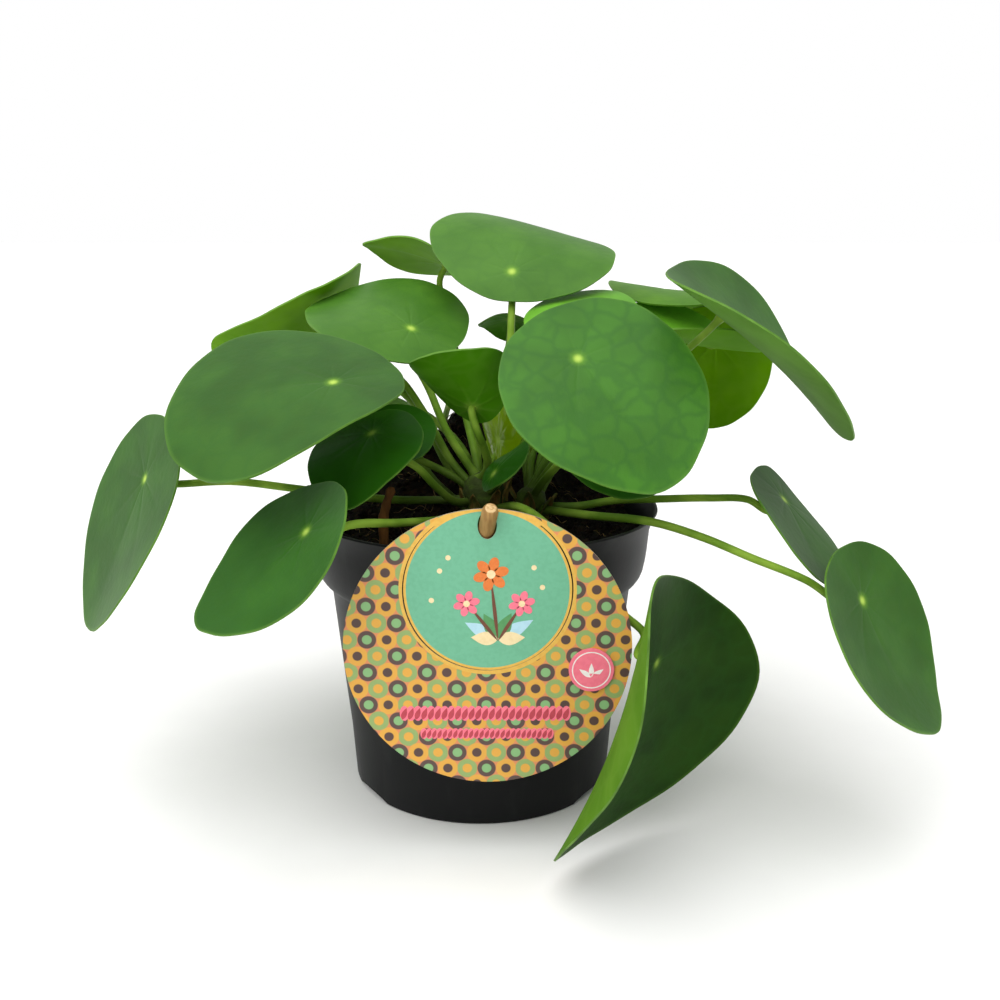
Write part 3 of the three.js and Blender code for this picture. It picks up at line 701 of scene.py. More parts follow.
@dataclass(frozen=True)
class DottedPrint:
    """Offset print on coated card: staggered rows of rings and dots of three kinds."""

    pitch: float = 5.88
    row_height: float = 5.16
    first_x: float = 2.43
    first_z: float = 28.39
    widest: float = 3.05
    dark_ring: float = 2.78
    hearts_radius: float = 1.45
    blur: float = 0.14
    pulp_scale: float = 1.2
    pulp_depth: float = 0.015
    ground: str = "d6885c"
    rings: tuple[str, str, str] = ("8fa767", "5a4843", "dba346")
    hearts: tuple[str, str, str] = ("dba346", "84b077", "55423e")

    @staticmethod
    def nearest(tree: Tree, value: Socket, start: float,
                size: float) -> tuple[Socket, Socket]:
        """Count whole steps along a value, and how far it is from the nearest one.

        Args:
            tree: the material's node tree.
            value: the value's socket, in mm.
            start: where step 0 lies, in mm.
            size: a step's size, in mm.

        Returns:
            The step's number, and the distance from it in mm.
        """
        count = add_node(tree, "Math", {0: value, 1: 1 / size, 2: -start / size},
                         operation="MULTIPLY_ADD")
        whole = add_node(tree, "Math", {0: count}, operation="ROUND")
        rest = add_node(tree, "Math", {0: count, 1: whole}, operation="SUBTRACT")
        return whole, add_node(tree, "Math", {0: rest, 1: size}, operation="MULTIPLY")

    def rows(self, tree: Tree, x: Socket, z: Socket, odd: int,
             ground: Socket | Colour) -> Socket | Colour:
        """Print every other row over a ground: three kinds of ring with a heart, in turn.

        Args:
            tree: the material's node tree.
            x: the place along a row, in mm.
            z: the place across the rows, in mm.
            odd: 0 for the even rows, 1 for the odd ones, which are set half a step aside.
            ground: the colour or socket under the print.

        Returns:
            The printed colour's socket.
        """
        above = self.nearest(tree, z, self.first_z + odd * self.row_height,
                             2 * self.row_height)[1]
        column, aside = self.nearest(tree, x, self.first_x + odd * self.pitch / 2, self.pitch)
        number = add_node(tree, "Math", {0: column, 1: 2.0 * odd}, operation="ADD")
        kind = add_node(tree, "Math", {0: number, 1: 3.0}, operation="FLOORED_MODULO")
        dark = add_node(tree, "Math", {0: kind, 1: 0.0, 2: 0.5}, operation="COMPARE")
        reach = add_node(tree, "Math", {0: dark, 1: self.dark_ring - self.widest,
                                        2: self.widest}, operation="MULTIPLY_ADD")
        offset = add_node(tree, "CombineXYZ", {0: aside, 1: above})
        distance = add_node(tree, "VectorMath", {0: offset}, out=1, operation="LENGTH")
        colour = ground
        for radius, inks in ((reach, self.rings), (self.hearts_radius, self.hearts)):
            ink: Socket | Colour = linear(inks[0])
            for place, tint in enumerate(inks[1:]):
                chosen = add_node(tree, "Math", {0: kind, 1: float(place), 2: 0.5},
                                  operation="COMPARE")
                ink = add_node(tree, "Mix", {0: chosen, 6: ink, 7: linear(tint)}, out=2,
                               data_type="RGBA")
            depth = add_node(tree, "Math", {0: radius, 1: distance}, operation="SUBTRACT")
            inside = add_node(tree, "MapRange", {0: depth, 1: -self.blur, 2: self.blur},
                              interpolation_type="SMOOTHSTEP")
            colour = add_node(tree, "Mix", {0: inside, 6: colour, 7: ink}, out=2,
                              data_type="RGBA")
        return colour

    def make(self) -> bpy.types.Material:
        """Make the card's printed face.

        Returns:
            The material.
        """
        material, tree = new_material("dotted_offset_print")
        place = add_node(tree, "TexCoord", out="Object")
        scaled = add_node(tree, "VectorMath", {0: place, "Scale": 1 / MM}, operation="SCALE")
        x = add_node(tree, "SeparateXYZ", {0: scaled}, out=0)
        z = add_node(tree, "SeparateXYZ", {0: scaled}, out=2)
        colour = self.rows(tree, x, z, 1, self.rows(tree, x, z, 0, linear(self.ground)))
        pulp = add_node(tree, "TexNoise",
                        {"Vector": scaled, "Scale": self.pulp_scale, "Detail": 3.0})
        finish_surface(tree, pulp, self.pulp_depth, Base_Color=colour, Roughness=0.5,
                       Specular_IOR_Level=0.3)
        return material


@dataclass(frozen=True)
class LeafShape:
    """Where one leaf stands and how its blade is bent, in mm and degrees.

    `root` is the stem's name, and the bearing, height and climb where the stalk leaves it. A
    stalk with `via` is led through those points and keeps straight for `neck` under the
    blade. `seat` is how far the stalk sits from the heel, and `heel` and `tip` are how far
    the two ends are drawn in, all as shares. `egg` narrows the half at the tip.
    """

    at: Point
    heading: float
    droop: float
    length: float
    width: float
    root: tuple[str, float, float, float]
    roll: float = 0.0
    arch: float = 12.0
    cup: float = 12.0
    twist: float = 0.0
    egg: float = 0.06
    heel: float = 0.0
    tip: float = 0.0
    seat: float = 0.29
    neck: float = 6.0
    via: tuple[Point, ...] = ()
    tone: Tone = Tone.MATURE


LEAVES: list[LeafShape] = [
    LeafShape((10.5, 16, 173.5), 69, -46, 60, 67, ("main", 75, 107, 84), roll=12, arch=36,
              cup=6, twist=11, egg=0.05, heel=0.13, tip=0.06, seat=0.2, via=((6, 0, 119),
              (9.6, 7, 143), (10.4, 11, 160)), tone=Tone.BRIGHT),
    LeafShape((-13.4, 54, 174.2), 187, -25, 45, 42, ("main", 110, 103.5, 72), roll=8, arch=17,
              cup=9, twist=35, egg=0.24, heel=0.14, tip=0.53, via=((-2, 0, 113.5),
              (-6, 12, 128), (-11, 44, 150)), tone=Tone.BACKLIT),
    LeafShape((-64.4, 60, 137.6), 274, -33, 77, 78, ("main", 132, 100, 66), roll=36, arch=3,
              cup=-59, twist=-14, egg=0.02, heel=0.22, tip=0.43, via=((-10, 0, 107.6),
              (-22, 12, 127.3), (-36, 28, 135)), tone=Tone.BACKLIT),
    LeafShape((-23.3, 6, 155.2), 144, -31, 54, 61, ("main", 158, 107, 80), roll=-12, arch=22,
              cup=0, twist=-5, egg=-0.04, tip=0.19, via=((-11, -5, 121.9), (-17, -1, 135.4)),
              tone=Tone.BRIGHT),
    LeafShape((-43, -42, 143.5), 180, 3, 74, 71, ("main", 195, 103, 60), roll=-22, arch=14,
              cup=9, twist=-22, egg=-0.19, tip=0.02, via=((-10, -4, 112), (-19, 2, 127),
              (-27, -1, 139), (-35, -24, 140.3))),
    LeafShape((-110.5, -12, 107.5), -156, 67, 75, 73, ("main", 178, 99.5, 8), roll=-9,
              arch=-2, cup=-8, twist=6, egg=0.21, heel=0.23, tip=0.08, via=((-30, -10, 100),
              (-60, -10, 103.6), (-82, -11, 106.4), (-99, -12, 105.8))),
    LeafShape((-49, -64, 103.5), -156, 47, 57, 50, ("main", -140, 96, 14), roll=-9, arch=-15,
              cup=-7, twist=-19, egg=0.23, heel=0.16, tip=0.29, via=((-12, -30, 98.2),
              (-23, -44, 100.9), (-39, -56, 102.9)), tone=Tone.DEEP),
    LeafShape((-33.4, -29, 125.9), -115, 31, 40, 39, ("main", -158, 99.5, 42), roll=7,
              arch=19, cup=5, twist=-8, egg=0.23, heel=0.18, tip=0.02, via=((-8, -17, 101),
              (-14, -25, 108), (-20, -31.5, 116)), tone=Tone.SHADED),
    LeafShape((-2, -27, 134), -119, -48, 36, 34, ("main", -115, 107, 78), roll=13, arch=11,
              cup=-51, twist=10, egg=-0.03, heel=0.23, tip=0.19, seat=0.2, neck=1.5,
              via=((2.6, -15, 112), (1.5, -21, 119), (-0.5, -28, 126)), tone=Tone.DEEP),
    LeafShape((29.5, -42, 150.5), -40, 39, 67, 60, ("main", -20, 103.5, 62), roll=34, arch=8,
              cup=-5, twist=-2, egg=0.11, heel=0.05, tip=0.04, via=((15, -14, 117),
              (26, -29, 138)), tone=Tone.NETTED),
    # Painted light: this leaf's bright tone stands in for light coming through it.
    LeafShape((31.9, -5, 158.4), 60, -23, 45, 41, ("main", 45, 106.5, 76), roll=10, arch=13,
              cup=23, twist=8, egg=0.17, tip=0.17, tone=Tone.PAINTED_LIT),
    LeafShape((10.5, 50, 155), 105, 20, 21, 23, ("main", 85, 102.5, 66), roll=10, arch=21,
              cup=27, twist=14, egg=-0.04, heel=0.03, tip=0.25, tone=Tone.DEEP),
    LeafShape((76, -20, 161.5), -12, 40, 78, 90, ("side", -10, 100.5, 60), roll=3, arch=4,
              cup=-22, twist=-21, egg=0.29, heel=0.07, tip=0.19),
    LeafShape((68.5, 62, 164.5), -54, -2, 56, 56, ("side", 60, 100.5, 62), roll=-16, arch=2,
              cup=27, twist=42, egg=0.25, heel=0.19, tip=0.35, via=((25, 18, 119),
              (50, 47, 143)), tone=Tone.BACKLIT),
    # Painted light: this leaf's bright tone lifts the shade cast on it by its neighbour.
    LeafShape((58.5, 22, 152.5), -7, 18, 57, 50, ("side", 32, 102, 66), roll=9, arch=-14,
              cup=-41, twist=-31, egg=-0.03, heel=0.08, tip=0.08, tone=Tone.PAINTED_LIT),
    LeafShape((88.2, 55.1, 146.2), 72, 77, 48, 44, ("side", 40, 96.5, 50), roll=3, arch=17,
              cup=15, twist=2, egg=0.19, heel=0.04, tip=0.04, via=((34, 13, 120),
              (60, 36, 142), (76, 47, 148.5)), tone=Tone.BACKLIT),
    LeafShape((5.8, -12, 120.5), 57, -90, 25, 23, ("main", -60, 107, 80), roll=-22, arch=7,
              cup=19, twist=3, heel=0.26, tip=0.08, tone=Tone.YOUNG),
    LeafShape((4.5, -27.5, 112.7), -4, -50, 21, 19, ("main", -75, 100, 50), roll=17, arch=14,
              cup=20, twist=-7, egg=0.08, heel=0.24, tip=0.14, tone=Tone.SHADED),
    LeafShape((99.5, -16, 101.5), -73, 34, 49, 43, ("side", 0, 96.5, 10), roll=-33, arch=2,
              cup=-1, twist=-1, egg=-0.14, heel=0.11, tip=0.05, via=((32, -5, 96.5),
              (45, -7, 99), (60, -9, 100), (76, -11, 100.8), (88, -14, 101))),
    LeafShape((117, -48, 77.5), -41, 65, 62, 56, ("side", -36, 95.5, 26), roll=3, arch=-14,
              cup=-14, twist=-13, egg=0.03, heel=0.02, tip=0.07, via=((36, -22, 97.6),
              (54, -35, 98.8), (69, -40, 95.2), (83, -44, 90), (100, -47, 83.5))),
    # Painted shade: this leaf's darkest tone stands in for the shade it lies in.
    LeafShape((52, -68, 65), -147, 65, 90, 93, ("main", -50, 96, 30), roll=-112, arch=8,
              cup=-43, twist=-21, egg=0.3, heel=0.03, tip=0.19, via=((12, -32, 103),
              (19, -48, 102.5), (25, -56.8, 98), (34, -56.6, 86), (43, -55.8, 76),
              (49.5, -57, 70)), tone=Tone.PAINTED_SHADE),
    LeafShape((42.5, -28, 132), -41, 55, 40, 45, ("side", -75, 98, 45), roll=16, arch=7,
              cup=31, twist=6, egg=0.05, heel=0.04, tip=0.09, tone=Tone.SHADED),
    LeafShape((-33.4, -9.5, 123.8), -53, 11, 31, 34, ("main", 168, 101, 48), roll=28, arch=10,
              cup=10, twist=-35, egg=0.05, heel=0.03, tip=0.21, tone=Tone.SHADED),
    LeafShape((36, 62, 132), 65, 30, 56, 54, ("side", 102, 100.5, 62)),
    LeafShape((-46, 68, 119), 112, 36, 40, 40, ("main", 118, 97.5, 66), via=((-6, 7, 113),
              (-24, 30, 124), (-38, 54, 118))),
    LeafShape((-56, 68, 86), 130, 62, 40, 40, ("main", 182, 94, 50), via=((-16, 1, 104),
              (-33, 34, 122), (-47, 55, 111))),
    LeafShape((46, 66, 114), 55, 40, 46, 46, ("side", 75, 94.5, 58), tone=Tone.DEEP),
    LeafShape((-20, 88, 82), 100, 62, 60, 58, ("main", 88, 98.5, 70), via=((-4, 20, 122),
              (-11, 50, 126), (-17, 74, 106))),
    LeafShape((26, 92, 88), 75, 48, 54, 54, ("side", 140, 96.5, 74), via=((15, 22, 120),
              (20, 52, 123), (24, 76, 108))),
]


@dataclass
class Foliage:
    """All leaves: shield-shaped blades on round stalks that grow from two stems."""

    stems: dict[str, Point] = field(default_factory=lambda: {
        "main": (1, -8, 7.5), "side": (17, -3, 5.5)})
    spokes: int = 104
    rings: int = 13
    ring_spread: float = 0.85
    inner_ring: float = 0.03
    thickness: float = 0.6
    ripple: float = 0.7
    ripples: int = 3
    edge_wave: float = 0.012
    edge_waves: int = 5
    fine_wave: float = 0.004
    fine_waves: int = 13
    end_sharpness: float = 4.0
    phase_step: float = 1.7
    least_bend: float = 0.5
    dimple_depth: float = 0.35
    dimple_radius: float = 3.2
    crease_depth: float = 0.12
    creases: int = 9
    crease_sharpness: int = 14
    crease_start: float = 8.0
    stalk_foot: float = 1.45
    stalk_neck: float = 1.15
    stalk_flare: float = 1.9
    flare_start: float = 0.95
    foot_swell: float = 0.9
    foot_share: float = 0.06
    stalk_end: float = 0.4
    stretch_steps: int = 10
    arc_steps: int = 30
    root_inset: float = 5.0
    push: float = 0.35
    lead: float = 0.3
    young_length: float = 24.0
    young_stalk: float = 0.7
    materials: dict[Tone, list[bpy.types.Material]] = field(init=False)
    skin: bpy.types.Material = field(init=False)

    def flat_shield(self) -> bpy.types.Object:
        """Model one flat round blade of radius 1, which every leaf is a copy of."""
        shares = [(1 - i / self.rings) ** self.ring_spread for i in range(self.rings)]
        shares.append(self.inner_ring)
        shield = ring_up([(share / MM, 0) for share in shares], self.spokes, "flat_shield",
                         capped=False)
        take(shield)
        bpy.ops.object.mode_set(mode="EDIT")
        bpy.ops.mesh.edge_face_add()
        bpy.ops.mesh.poke()
        bpy.ops.object.mode_set(mode="OBJECT")
        return shield

    def outline(self, leaf: LeafShape, angle: float, phase: float) -> Flat:
        """Find the edge of a flat blade at an angle round it.

        Args:
            leaf: the leaf's shape.
            angle: the angle round the blade, 0 at its tip.
            phase: where the waves of its edge start.

        Returns:
            The distances along and across the blade, from its stalk.
        """
        wave = (1 + self.edge_wave * math.sin(self.edge_waves * angle + phase)
                + self.fine_wave * math.sin(self.fine_waves * angle + 2 * phase))
        ahead = ((1 + math.cos(angle)) / 2) ** self.end_sharpness
        behind = ((1 - math.cos(angle)) / 2) ** self.end_sharpness
        pinch = 1 - leaf.tip * ahead - leaf.heel * behind
        along = leaf.length * (0.5 - leaf.seat + 0.5 * math.cos(angle) * wave)
        across = (leaf.width / 2 * math.sin(angle) * (1 - leaf.egg * math.cos(angle))
                  * pinch * wave)
        return along, across

    def bend_of(self, degrees: float) -> float:
        """Turn a bend into radians, kept off zero so that its radius stays finite."""
        return math.radians(degrees if abs(degrees) > self.least_bend else self.least_bend)

    def bend(self, leaf: LeafShape, u: float, v: float, lift: float) -> Vector:
        """Bend a flat point of a blade into its arch, cup and twist.

        Args:
            leaf: the leaf's shape.
            u: the point's distance along the blade from the stalk.
            v: its distance across.
            lift: its height above the middle surface.

        Returns:
            The bent point in the blade's own axes.
        """
        arch = self.bend_of(leaf.arch) / (leaf.length / 2)
        cup = self.bend_of(leaf.cup) / (leaf.width / 2)
        sag = (math.cos(cup * v) - 1) / cup
        side = math.sin(cup * v) / cup
        reach = (1 / arch + sag) * math.sin(arch * u)
        height = (1 / arch + sag) * math.cos(arch * u) - 1 / arch + lift
        wind = math.radians(leaf.twist) * reach / leaf.length
        return Vector((reach, side * math.cos(wind) - height * math.sin(wind),
                       side * math.sin(wind) + height * math.cos(wind)))

    def frame_of(self, leaf: LeafShape) -> Matrix:
        """Turn from a blade's own axes to the plant's, with its place."""
        turn = (Matrix.Rotation(math.radians(leaf.heading), 4, "Z")
                @ Matrix.Rotation(math.radians(leaf.droop), 4, "Y")
                @ Matrix.Rotation(math.radians(leaf.roll), 4, "X"))
        return Matrix.Translation(leaf.at) @ turn

    def blade(self, leaf: LeafShape, shield: bpy.types.Object,
              phase: float) -> bpy.types.Object:
        """Shape a copy of the flat shield into one blade and thicken it.

        Args:
            leaf: the leaf's shape.
            shield: the flat blade of radius 1.
            phase: where the waves of its edge start.

        Returns:
            The blade, with its flat map and three material slots.
        """
        blade = copy_of(shield)
        frame = self.frame_of(leaf)
        flat: list[Flat] = []
        shares: list[float] = []
        for vertex in blade.data.vertices:
            share = math.hypot(vertex.co.x, vertex.co.y)
            angle = math.atan2(vertex.co.y, vertex.co.x)
            u, v = (part * share for part in self.outline(leaf, angle, phase))
            lift = self.ripple * share**2 * math.sin(self.ripples * angle + 2 * phase)
            distance = math.hypot(u, v)
            lift -= self.dimple_depth * math.exp(-(distance / self.dimple_radius) ** 2)
            ridge = abs(math.cos(math.atan2(v, u) * self.creases / 2)) ** self.crease_sharpness
            lift -= (self.crease_depth * ridge * min(1, distance / self.crease_start)
                     * (1 - share**2))
            flat.append((u, v))
            shares.append(share)
            vertex.co = frame @ self.bend(leaf, u, v, lift) * MM
        sheet = LeafFinish(leaf.tone).sheet_mm
        mapped = blade.data.uv_layers.new(name="blade")
        for loop in blade.data.loops:
            u, v = flat[loop.vertex_index]
            mapped.data[loop.index].uv = (u / sheet + 0.5, v / sheet + 0.5)
        blade.data.attributes.new("share", "FLOAT", "POINT").data.foreach_set("value", shares)
        coat(blade, *self.materials[leaf.tone])
        keep_modifier(blade, "SOLIDIFY", thickness=self.thickness * MM, offset=0,
                      use_rim=True, material_offset=1, material_offset_rim=2)
        return blade

    def stalk_path(self, leaf: LeafShape) -> list[Vector]:
        """Lead a stalk from its stem to the blade's seat.

        Args:
            leaf: the leaf's shape.

        Returns:
            The stalk's points, in mm.
        """
        name, bearing, height, rise = leaf.root
        x, y, radius = self.stems[name]
        out = Vector((math.cos(math.radians(bearing)), math.sin(math.radians(bearing)), 0))
        start = Vector((x, y, height)) + out * (radius - self.root_inset)
        down = self.frame_of(leaf).to_3x3() @ Vector((0, 0, -1))
        end = Vector(leaf.at) + down * self.stalk_end
        if leaf.via:
            middle = [Vector(point) for point in leaf.via]
            return through([start, *middle, end + down * leaf.neck, end], self.stretch_steps)
        span = (end - start).length
        climb = out * math.cos(math.radians(rise)) + Vector((0, 0, math.sin(math.radians(rise))))
        near = start + climb * (self.push * span)
        far = end + down * (self.lead * span)
        shares = [i / self.arc_steps for i in range(self.arc_steps + 1)]
        return [start * (1 - t)**3 + near * (3 * (1 - t)**2 * t) + far * (3 * (1 - t) * t * t)
                + end * t**3 for t in shares]

    def stalk(self, leaf: LeafShape) -> bpy.types.Object:
        """Make the round stalk: thicker at its foot and flared where it meets the blade."""
        path = self.stalk_path(leaf)
        last = len(path) - 1
        size = self.young_stalk if leaf.length < self.young_length else 1.0
        widths = []
        for i in range(last + 1):
            share = i / last
            width = self.stalk_foot + (self.stalk_neck - self.stalk_foot) * share
            end = max(0.0, (share - self.flare_start) / (1 - self.flare_start)) ** 2
            flare = (self.stalk_flare - self.stalk_neck) * end
            foot = self.foot_swell * max(0.0, 1 - share / self.foot_share) ** 2
            widths.append((width + flare + foot) * size)
        piece = strands("stalk", [path], [widths], roundness=2)
        coat(piece, self.skin)
        return piece

    def build(self) -> None:
        """Make every leaf in place of its CAD node."""
        finishes = {tone: LeafFinish(tone) for tone in Tone}
        self.materials = {tone: [finish.face(), finish.underside(), finish.edge()]
                          for tone, finish in finishes.items()}
        self.skin = StalkFinish().make()
        shield = self.flat_shield()
        for number, leaf in enumerate(LEAVES):
            blade = self.blade(leaf, shield, number * self.phase_step)
            name = f"leaf_{number + 1:02d}"
            piece = join(name + "_fine", [blade, self.stalk(leaf)])
            smooth(piece, 50)
            slot = "young_leaf" if leaf.tone is Tone.YOUNG else "leaf"
            hand_over(piece, slot, name)
        bpy.data.objects.remove(shield)


@dataclass
class NurseryPot:
    """A thin moulded pot with a flared collar, drain holes and arches in its foot."""

    rim_radius: float = 60.0
    rim_height: float = 96.3
    base_radius: float = 44.3
    wall: float = 1.2
    floor_top: float = 2.7
    pad_radius: float = 12.0
    sides: int = 120
    drain_holes: int = 6
    drain_radius: float = 4.2
    drain_circle: float = 26.0
    drain_cut: Pair = (-2.0, 6.0)
    notch_angles: tuple[float, ...] = (-147, -33, 90)
    notch_half_width: float = 9.5
    notch_height: float = 2.4
    notch_cut: Pair = (36.0, 48.0)

    def outline(self) -> list[Flat]:
        """List the rings from the underside's pad, over the rim, to the floor."""
        base, rim, wall = self.base_radius, self.rim_radius, self.wall
        underside = [(self.pad_radius, 0), (14, 1.5), (37, 1.5), (38.5, 0), (base - 1, 0),
                     (base, 0.4), (base + 0.3, 1.2)]
        outside = [(45.9, 19.5), (47.6, 35), (49.2, 50.6), (50.9, 66.9), (51.3, 70.2)]
        collar = [(51.9, 71.2), (53.1, 72.2), (54.2, 73.2), (55, 74.4), (55.6, 76), (56.2, 79),
                  (56.6, 82), (57, 86.4), (57.3, 89.7), (58, 92.2), (59.2, 94.7)]
        lip = [(rim - 0.1, 95.8), (rim - 0.2, self.rim_height),
               (rim - wall + 0.1, self.rim_height), (rim - wall - 0.1, 95.8), (57.1, 93)]
        inside = [(57.2 - wall, 89.5), (56.6 - wall, 82), (55.6 - wall, 76.3),
                  (54.2 - wall, 74), (51.3 - wall, 71), (49.2 - wall, 50.6),
                  (45.9 - wall, 19.5)]
        floor = [(base - 0.9, self.floor_top + 1.4), (base - 2.6, self.floor_top)]
        return underside + outside + collar + lip + inside + floor

    def cutters(self) -> bpy.types.Object:
        """Make the drain holes' and arches' cutting bodies as one object."""
        bodies = []
        low, high = self.drain_cut
        for i in range(self.drain_holes):
            angle = i / self.drain_holes * math.tau
            deselect()
            bpy.ops.mesh.primitive_cylinder_add(
                vertices=32, radius=self.drain_radius * MM, depth=(high - low) * MM,
                location=(self.drain_circle * math.cos(angle) * MM,
                          self.drain_circle * math.sin(angle) * MM, (low + high) / 2 * MM))
            bodies.append(bpy.context.active_object)
        near, far = self.notch_cut
        for bearing in self.notch_angles:
            deselect()
            bpy.ops.mesh.primitive_cylinder_add(
                vertices=48, radius=MM, depth=(far - near) * MM,
                rotation=(0, math.pi / 2, 0))
            body = bpy.context.active_object
            settle(body)
            body.scale = (1, self.notch_half_width, self.notch_height)
            body.location = ((near + far) / 2 * MM, 0, 0)
            settle(body)
            body.rotation_euler = (0, 0, math.radians(bearing))
            bodies.append(body)
        for body in bodies:
            settle(body)
        return join("pot_cutters", bodies)

    def build(self) -> None:
        """Make the pot in place of its CAD node."""
        pot = ring_up(self.outline(), self.sides, "pot_fine")
        face_outwards(pot)
        tool = self.cutters()
        keep_modifier(pot, "BOOLEAN", object=tool, operation="DIFFERENCE", solver="EXACT")
        bpy.data.objects.remove(tool)
        coat(pot, POT_PLASTIC.make())
        smooth(pot, 32)
        hand_over(pot, "pot", "pot")


@dataclass(frozen=True)
class Tuft:
    """A tuft of peat fibres: how many, and the ranges they are drawn from, in mm."""

    count: int
    feet_x: Pair
    feet_y: Pair
    lean_x: Pair
    lean_y: Pair
    rise: Pair
    width: Pair = (0.18, 0.5)
    taper: float = 0.7


@dataclass
class Potting:
    """Peat mix heaped towards the back, with crumbs, roots, fibres and the two stems.

    `mound` holds the x, y, spread and rise of the highest spot. `crumble_waves` holds the
    depth and the rate of each layer of unevenness, and `stem_dome` each ring's radius and
    drop under the stem's top as shares of its radius. Pairs named sizes, places, lengths or
    widths are the ranges that chance draws from.
    """

    front_height: float = 88.5
    heap: float = 24.0
    heap_power: float = 1.15
    mound: tuple[float, float, float, float] = (-4.0, 32.0, 20.0, 19.0)
    heap_direction: Flat = (-0.2, 0.98)
    reach: float = 55.0
    edge_fall: float = 0.45
    lump: float = 1.3
    crumble_waves: tuple[Pair, ...] = ((1.5, 0.16), (1.1, 0.42), (0.6, 0.95))
    edge_radius: float = 55.0
    edge_start: float = 0.94
    edge_sink: float = 3.0
    sides: int = 132
    rings: int = 44
    crumb_count: int = 950
    crumb_sizes: Pair = (0.5, 2.1)
    crumb_jag: float = 0.3
    crumb_jag_rate: float = 1800.0
    root_count: int = 60
    root_steps: int = 9
    root_bearing: float = 165.0
    root_scatter: Pair = (0.9, 3.0)
    root_places: Pair = (18, 52)
    root_lengths: Pair = (6, 18)
    root_widths: Pair = (0.1, 0.22)
    root_taper: float = 0.6
    root_limit: float = 53.0
    tufts: tuple[Tuft, ...] = (Tuft(34, (-54, -47), (-2, 18), (-8, 0), (-4, 4), (7, 15)),
                               Tuft(17, (-14, 4), (22, 36), (-4, 4), (-4, 2), (4, 9)))
    stem_foot: float = 76.0
    stem_tops: dict[str, float] = field(default_factory=lambda: {"main": 109, "side": 103})
    stem_steps: int = 26
    stem_dome: tuple[Pair, ...] = ((0.84, 0.42), (0.55, 0.14), (0.22, 0))
    scar_depth: float = 0.04
    scar_rate: float = 1.9
    stipule_length: float = 10.0
    stipule_width: float = 5.0
    stipule_count: int = 7
    stipule_sink: float = 0.6
    stipule_thickness: float = 0.3
    stipule_curl: float = 1.1
    stipule_bow: float = 2.2
    stipule_crinkle: float = 0.25
    dry_points: tuple[Point, ...] = ((-29.5, -37, 80), (-29.5, -37, 92), (-29.5, -37, 101),
                                     (-27, -36, 110.3))
    dry_radius: float = 1.75
    dry_taper: float = 0.35
    dry_ripple: float = 0.14
    dry_flatness: float = 0.6
    dry_end: float = 0.55
    seed: int = 7
    scale: bpy.types.Object = field(init=False)

    def height(self, x: float, y: float) -> float:
        """Height of the soil's surface at a place, in mm, without its fine crumble."""
        back = (self.heap_direction[0] * x + self.heap_direction[1] * y) / self.reach
        lump = (math.sin(0.31 * x + 1.2) * math.cos(0.27 * y - 0.6)
                + 0.6 * math.sin(0.5 * (x + y)))
        fall = 1 - self.edge_fall * (math.hypot(x, y) / self.reach) ** 5
        middle_x, middle_y, spread, rise = self.mound
        away = math.hypot(x - middle_x, y - middle_y) / spread
        return (self.front_height + self.heap * max(0.0, back) ** self.heap_power * fall
                + rise * math.exp(-away**2) + self.lump * lump)

    def surface(self, x: float, y: float) -> float:
        """Height of the soil's surface at a place, in mm, with its fine crumble."""
        spot = Vector((x, y, 0))
        return self.height(x, y) + sum(depth * noise.noise(spot * rate)
                                       for depth, rate in self.crumble_waves)

    def sink(self, distance: float) -> float:
        """How far the surface sinks beside the pot's wall, in mm, by distance from the axis."""
        near = max(0.0, distance / self.edge_radius - self.edge_start) / (1 - self.edge_start)
        return self.edge_sink * near**2

    @staticmethod
    def tapered(width: float, taper: float, count: int) -> list[float]:
        """List the radii of a strand that thins towards its tip."""
        return [width * (1 - taper * k / count) for k in range(count)]

    def bed(self) -> bpy.types.Object:
        """Make the body of soil that fills the pot."""
        below: list[Flat] = [(38, 3), (42.6, 4.6), (44.4, 19.5), (47.7, 50.6), (49.3, 67),
                             (49.7, 71.3), (52.6, 74.6), (53.9, 77)]
        top = 80
        rings = [(self.edge_radius * (1 - i / (self.rings + 1)), top)
                 for i in range(self.rings + 1)]
        bed = ring_up(below + rings, self.sides, "soil_bed")
        for vertex in bed.data.vertices:
            if vertex.co.z > (top - 0.1) * MM:
                x, y = vertex.co.x / MM, vertex.co.y / MM
                vertex.co.z = (self.surface(x, y) - self.sink(math.hypot(x, y))) * MM
        face_outwards(bed)
        return bed

    def crumbs(self, draw: random.Random) -> list[bpy.types.Object]:
        """Scatter loose crumbs, each a jagged copy of one small stone.

        Args:
            draw: the seeded source of chance.

        Returns:
            The crumbs.
        """
        deselect()
        bpy.ops.mesh.primitive_ico_sphere_add(subdivisions=2, radius=MM)
        stone = bpy.context.active_object
        for vertex in stone.data.vertices:
            vertex.co *= 1 + self.crumb_jag * noise.noise(vertex.co * self.crumb_jag_rate)
        crumbs = []
        least, most = self.crumb_sizes
        for _ in range(self.crumb_count):
            distance = (self.edge_radius - 1) * math.sqrt(draw.random())
            angle = draw.random() * math.tau
            x, y = distance * math.cos(angle), distance * math.sin(angle)
            size = least + (most - least) * draw.random() ** 3
            turn = Matrix.Rotation(draw.random() * math.tau, 4, "Z") @ Matrix.Rotation(
                draw.random() * math.pi, 4, "X")
            squash = Matrix.Diagonal((size, size * draw.uniform(0.6, 1), size * 0.7, 1))
            z = self.surface(x, y) + size * 0.15 - self.sink(distance)
            crumb = copy_of(stone)
            crumb.data.transform(Matrix.Translation(Vector((x, y, z)) * MM) @ turn @ squash)
            crumbs.append(crumb)
        bpy.data.objects.remove(stone)
        return crumbs

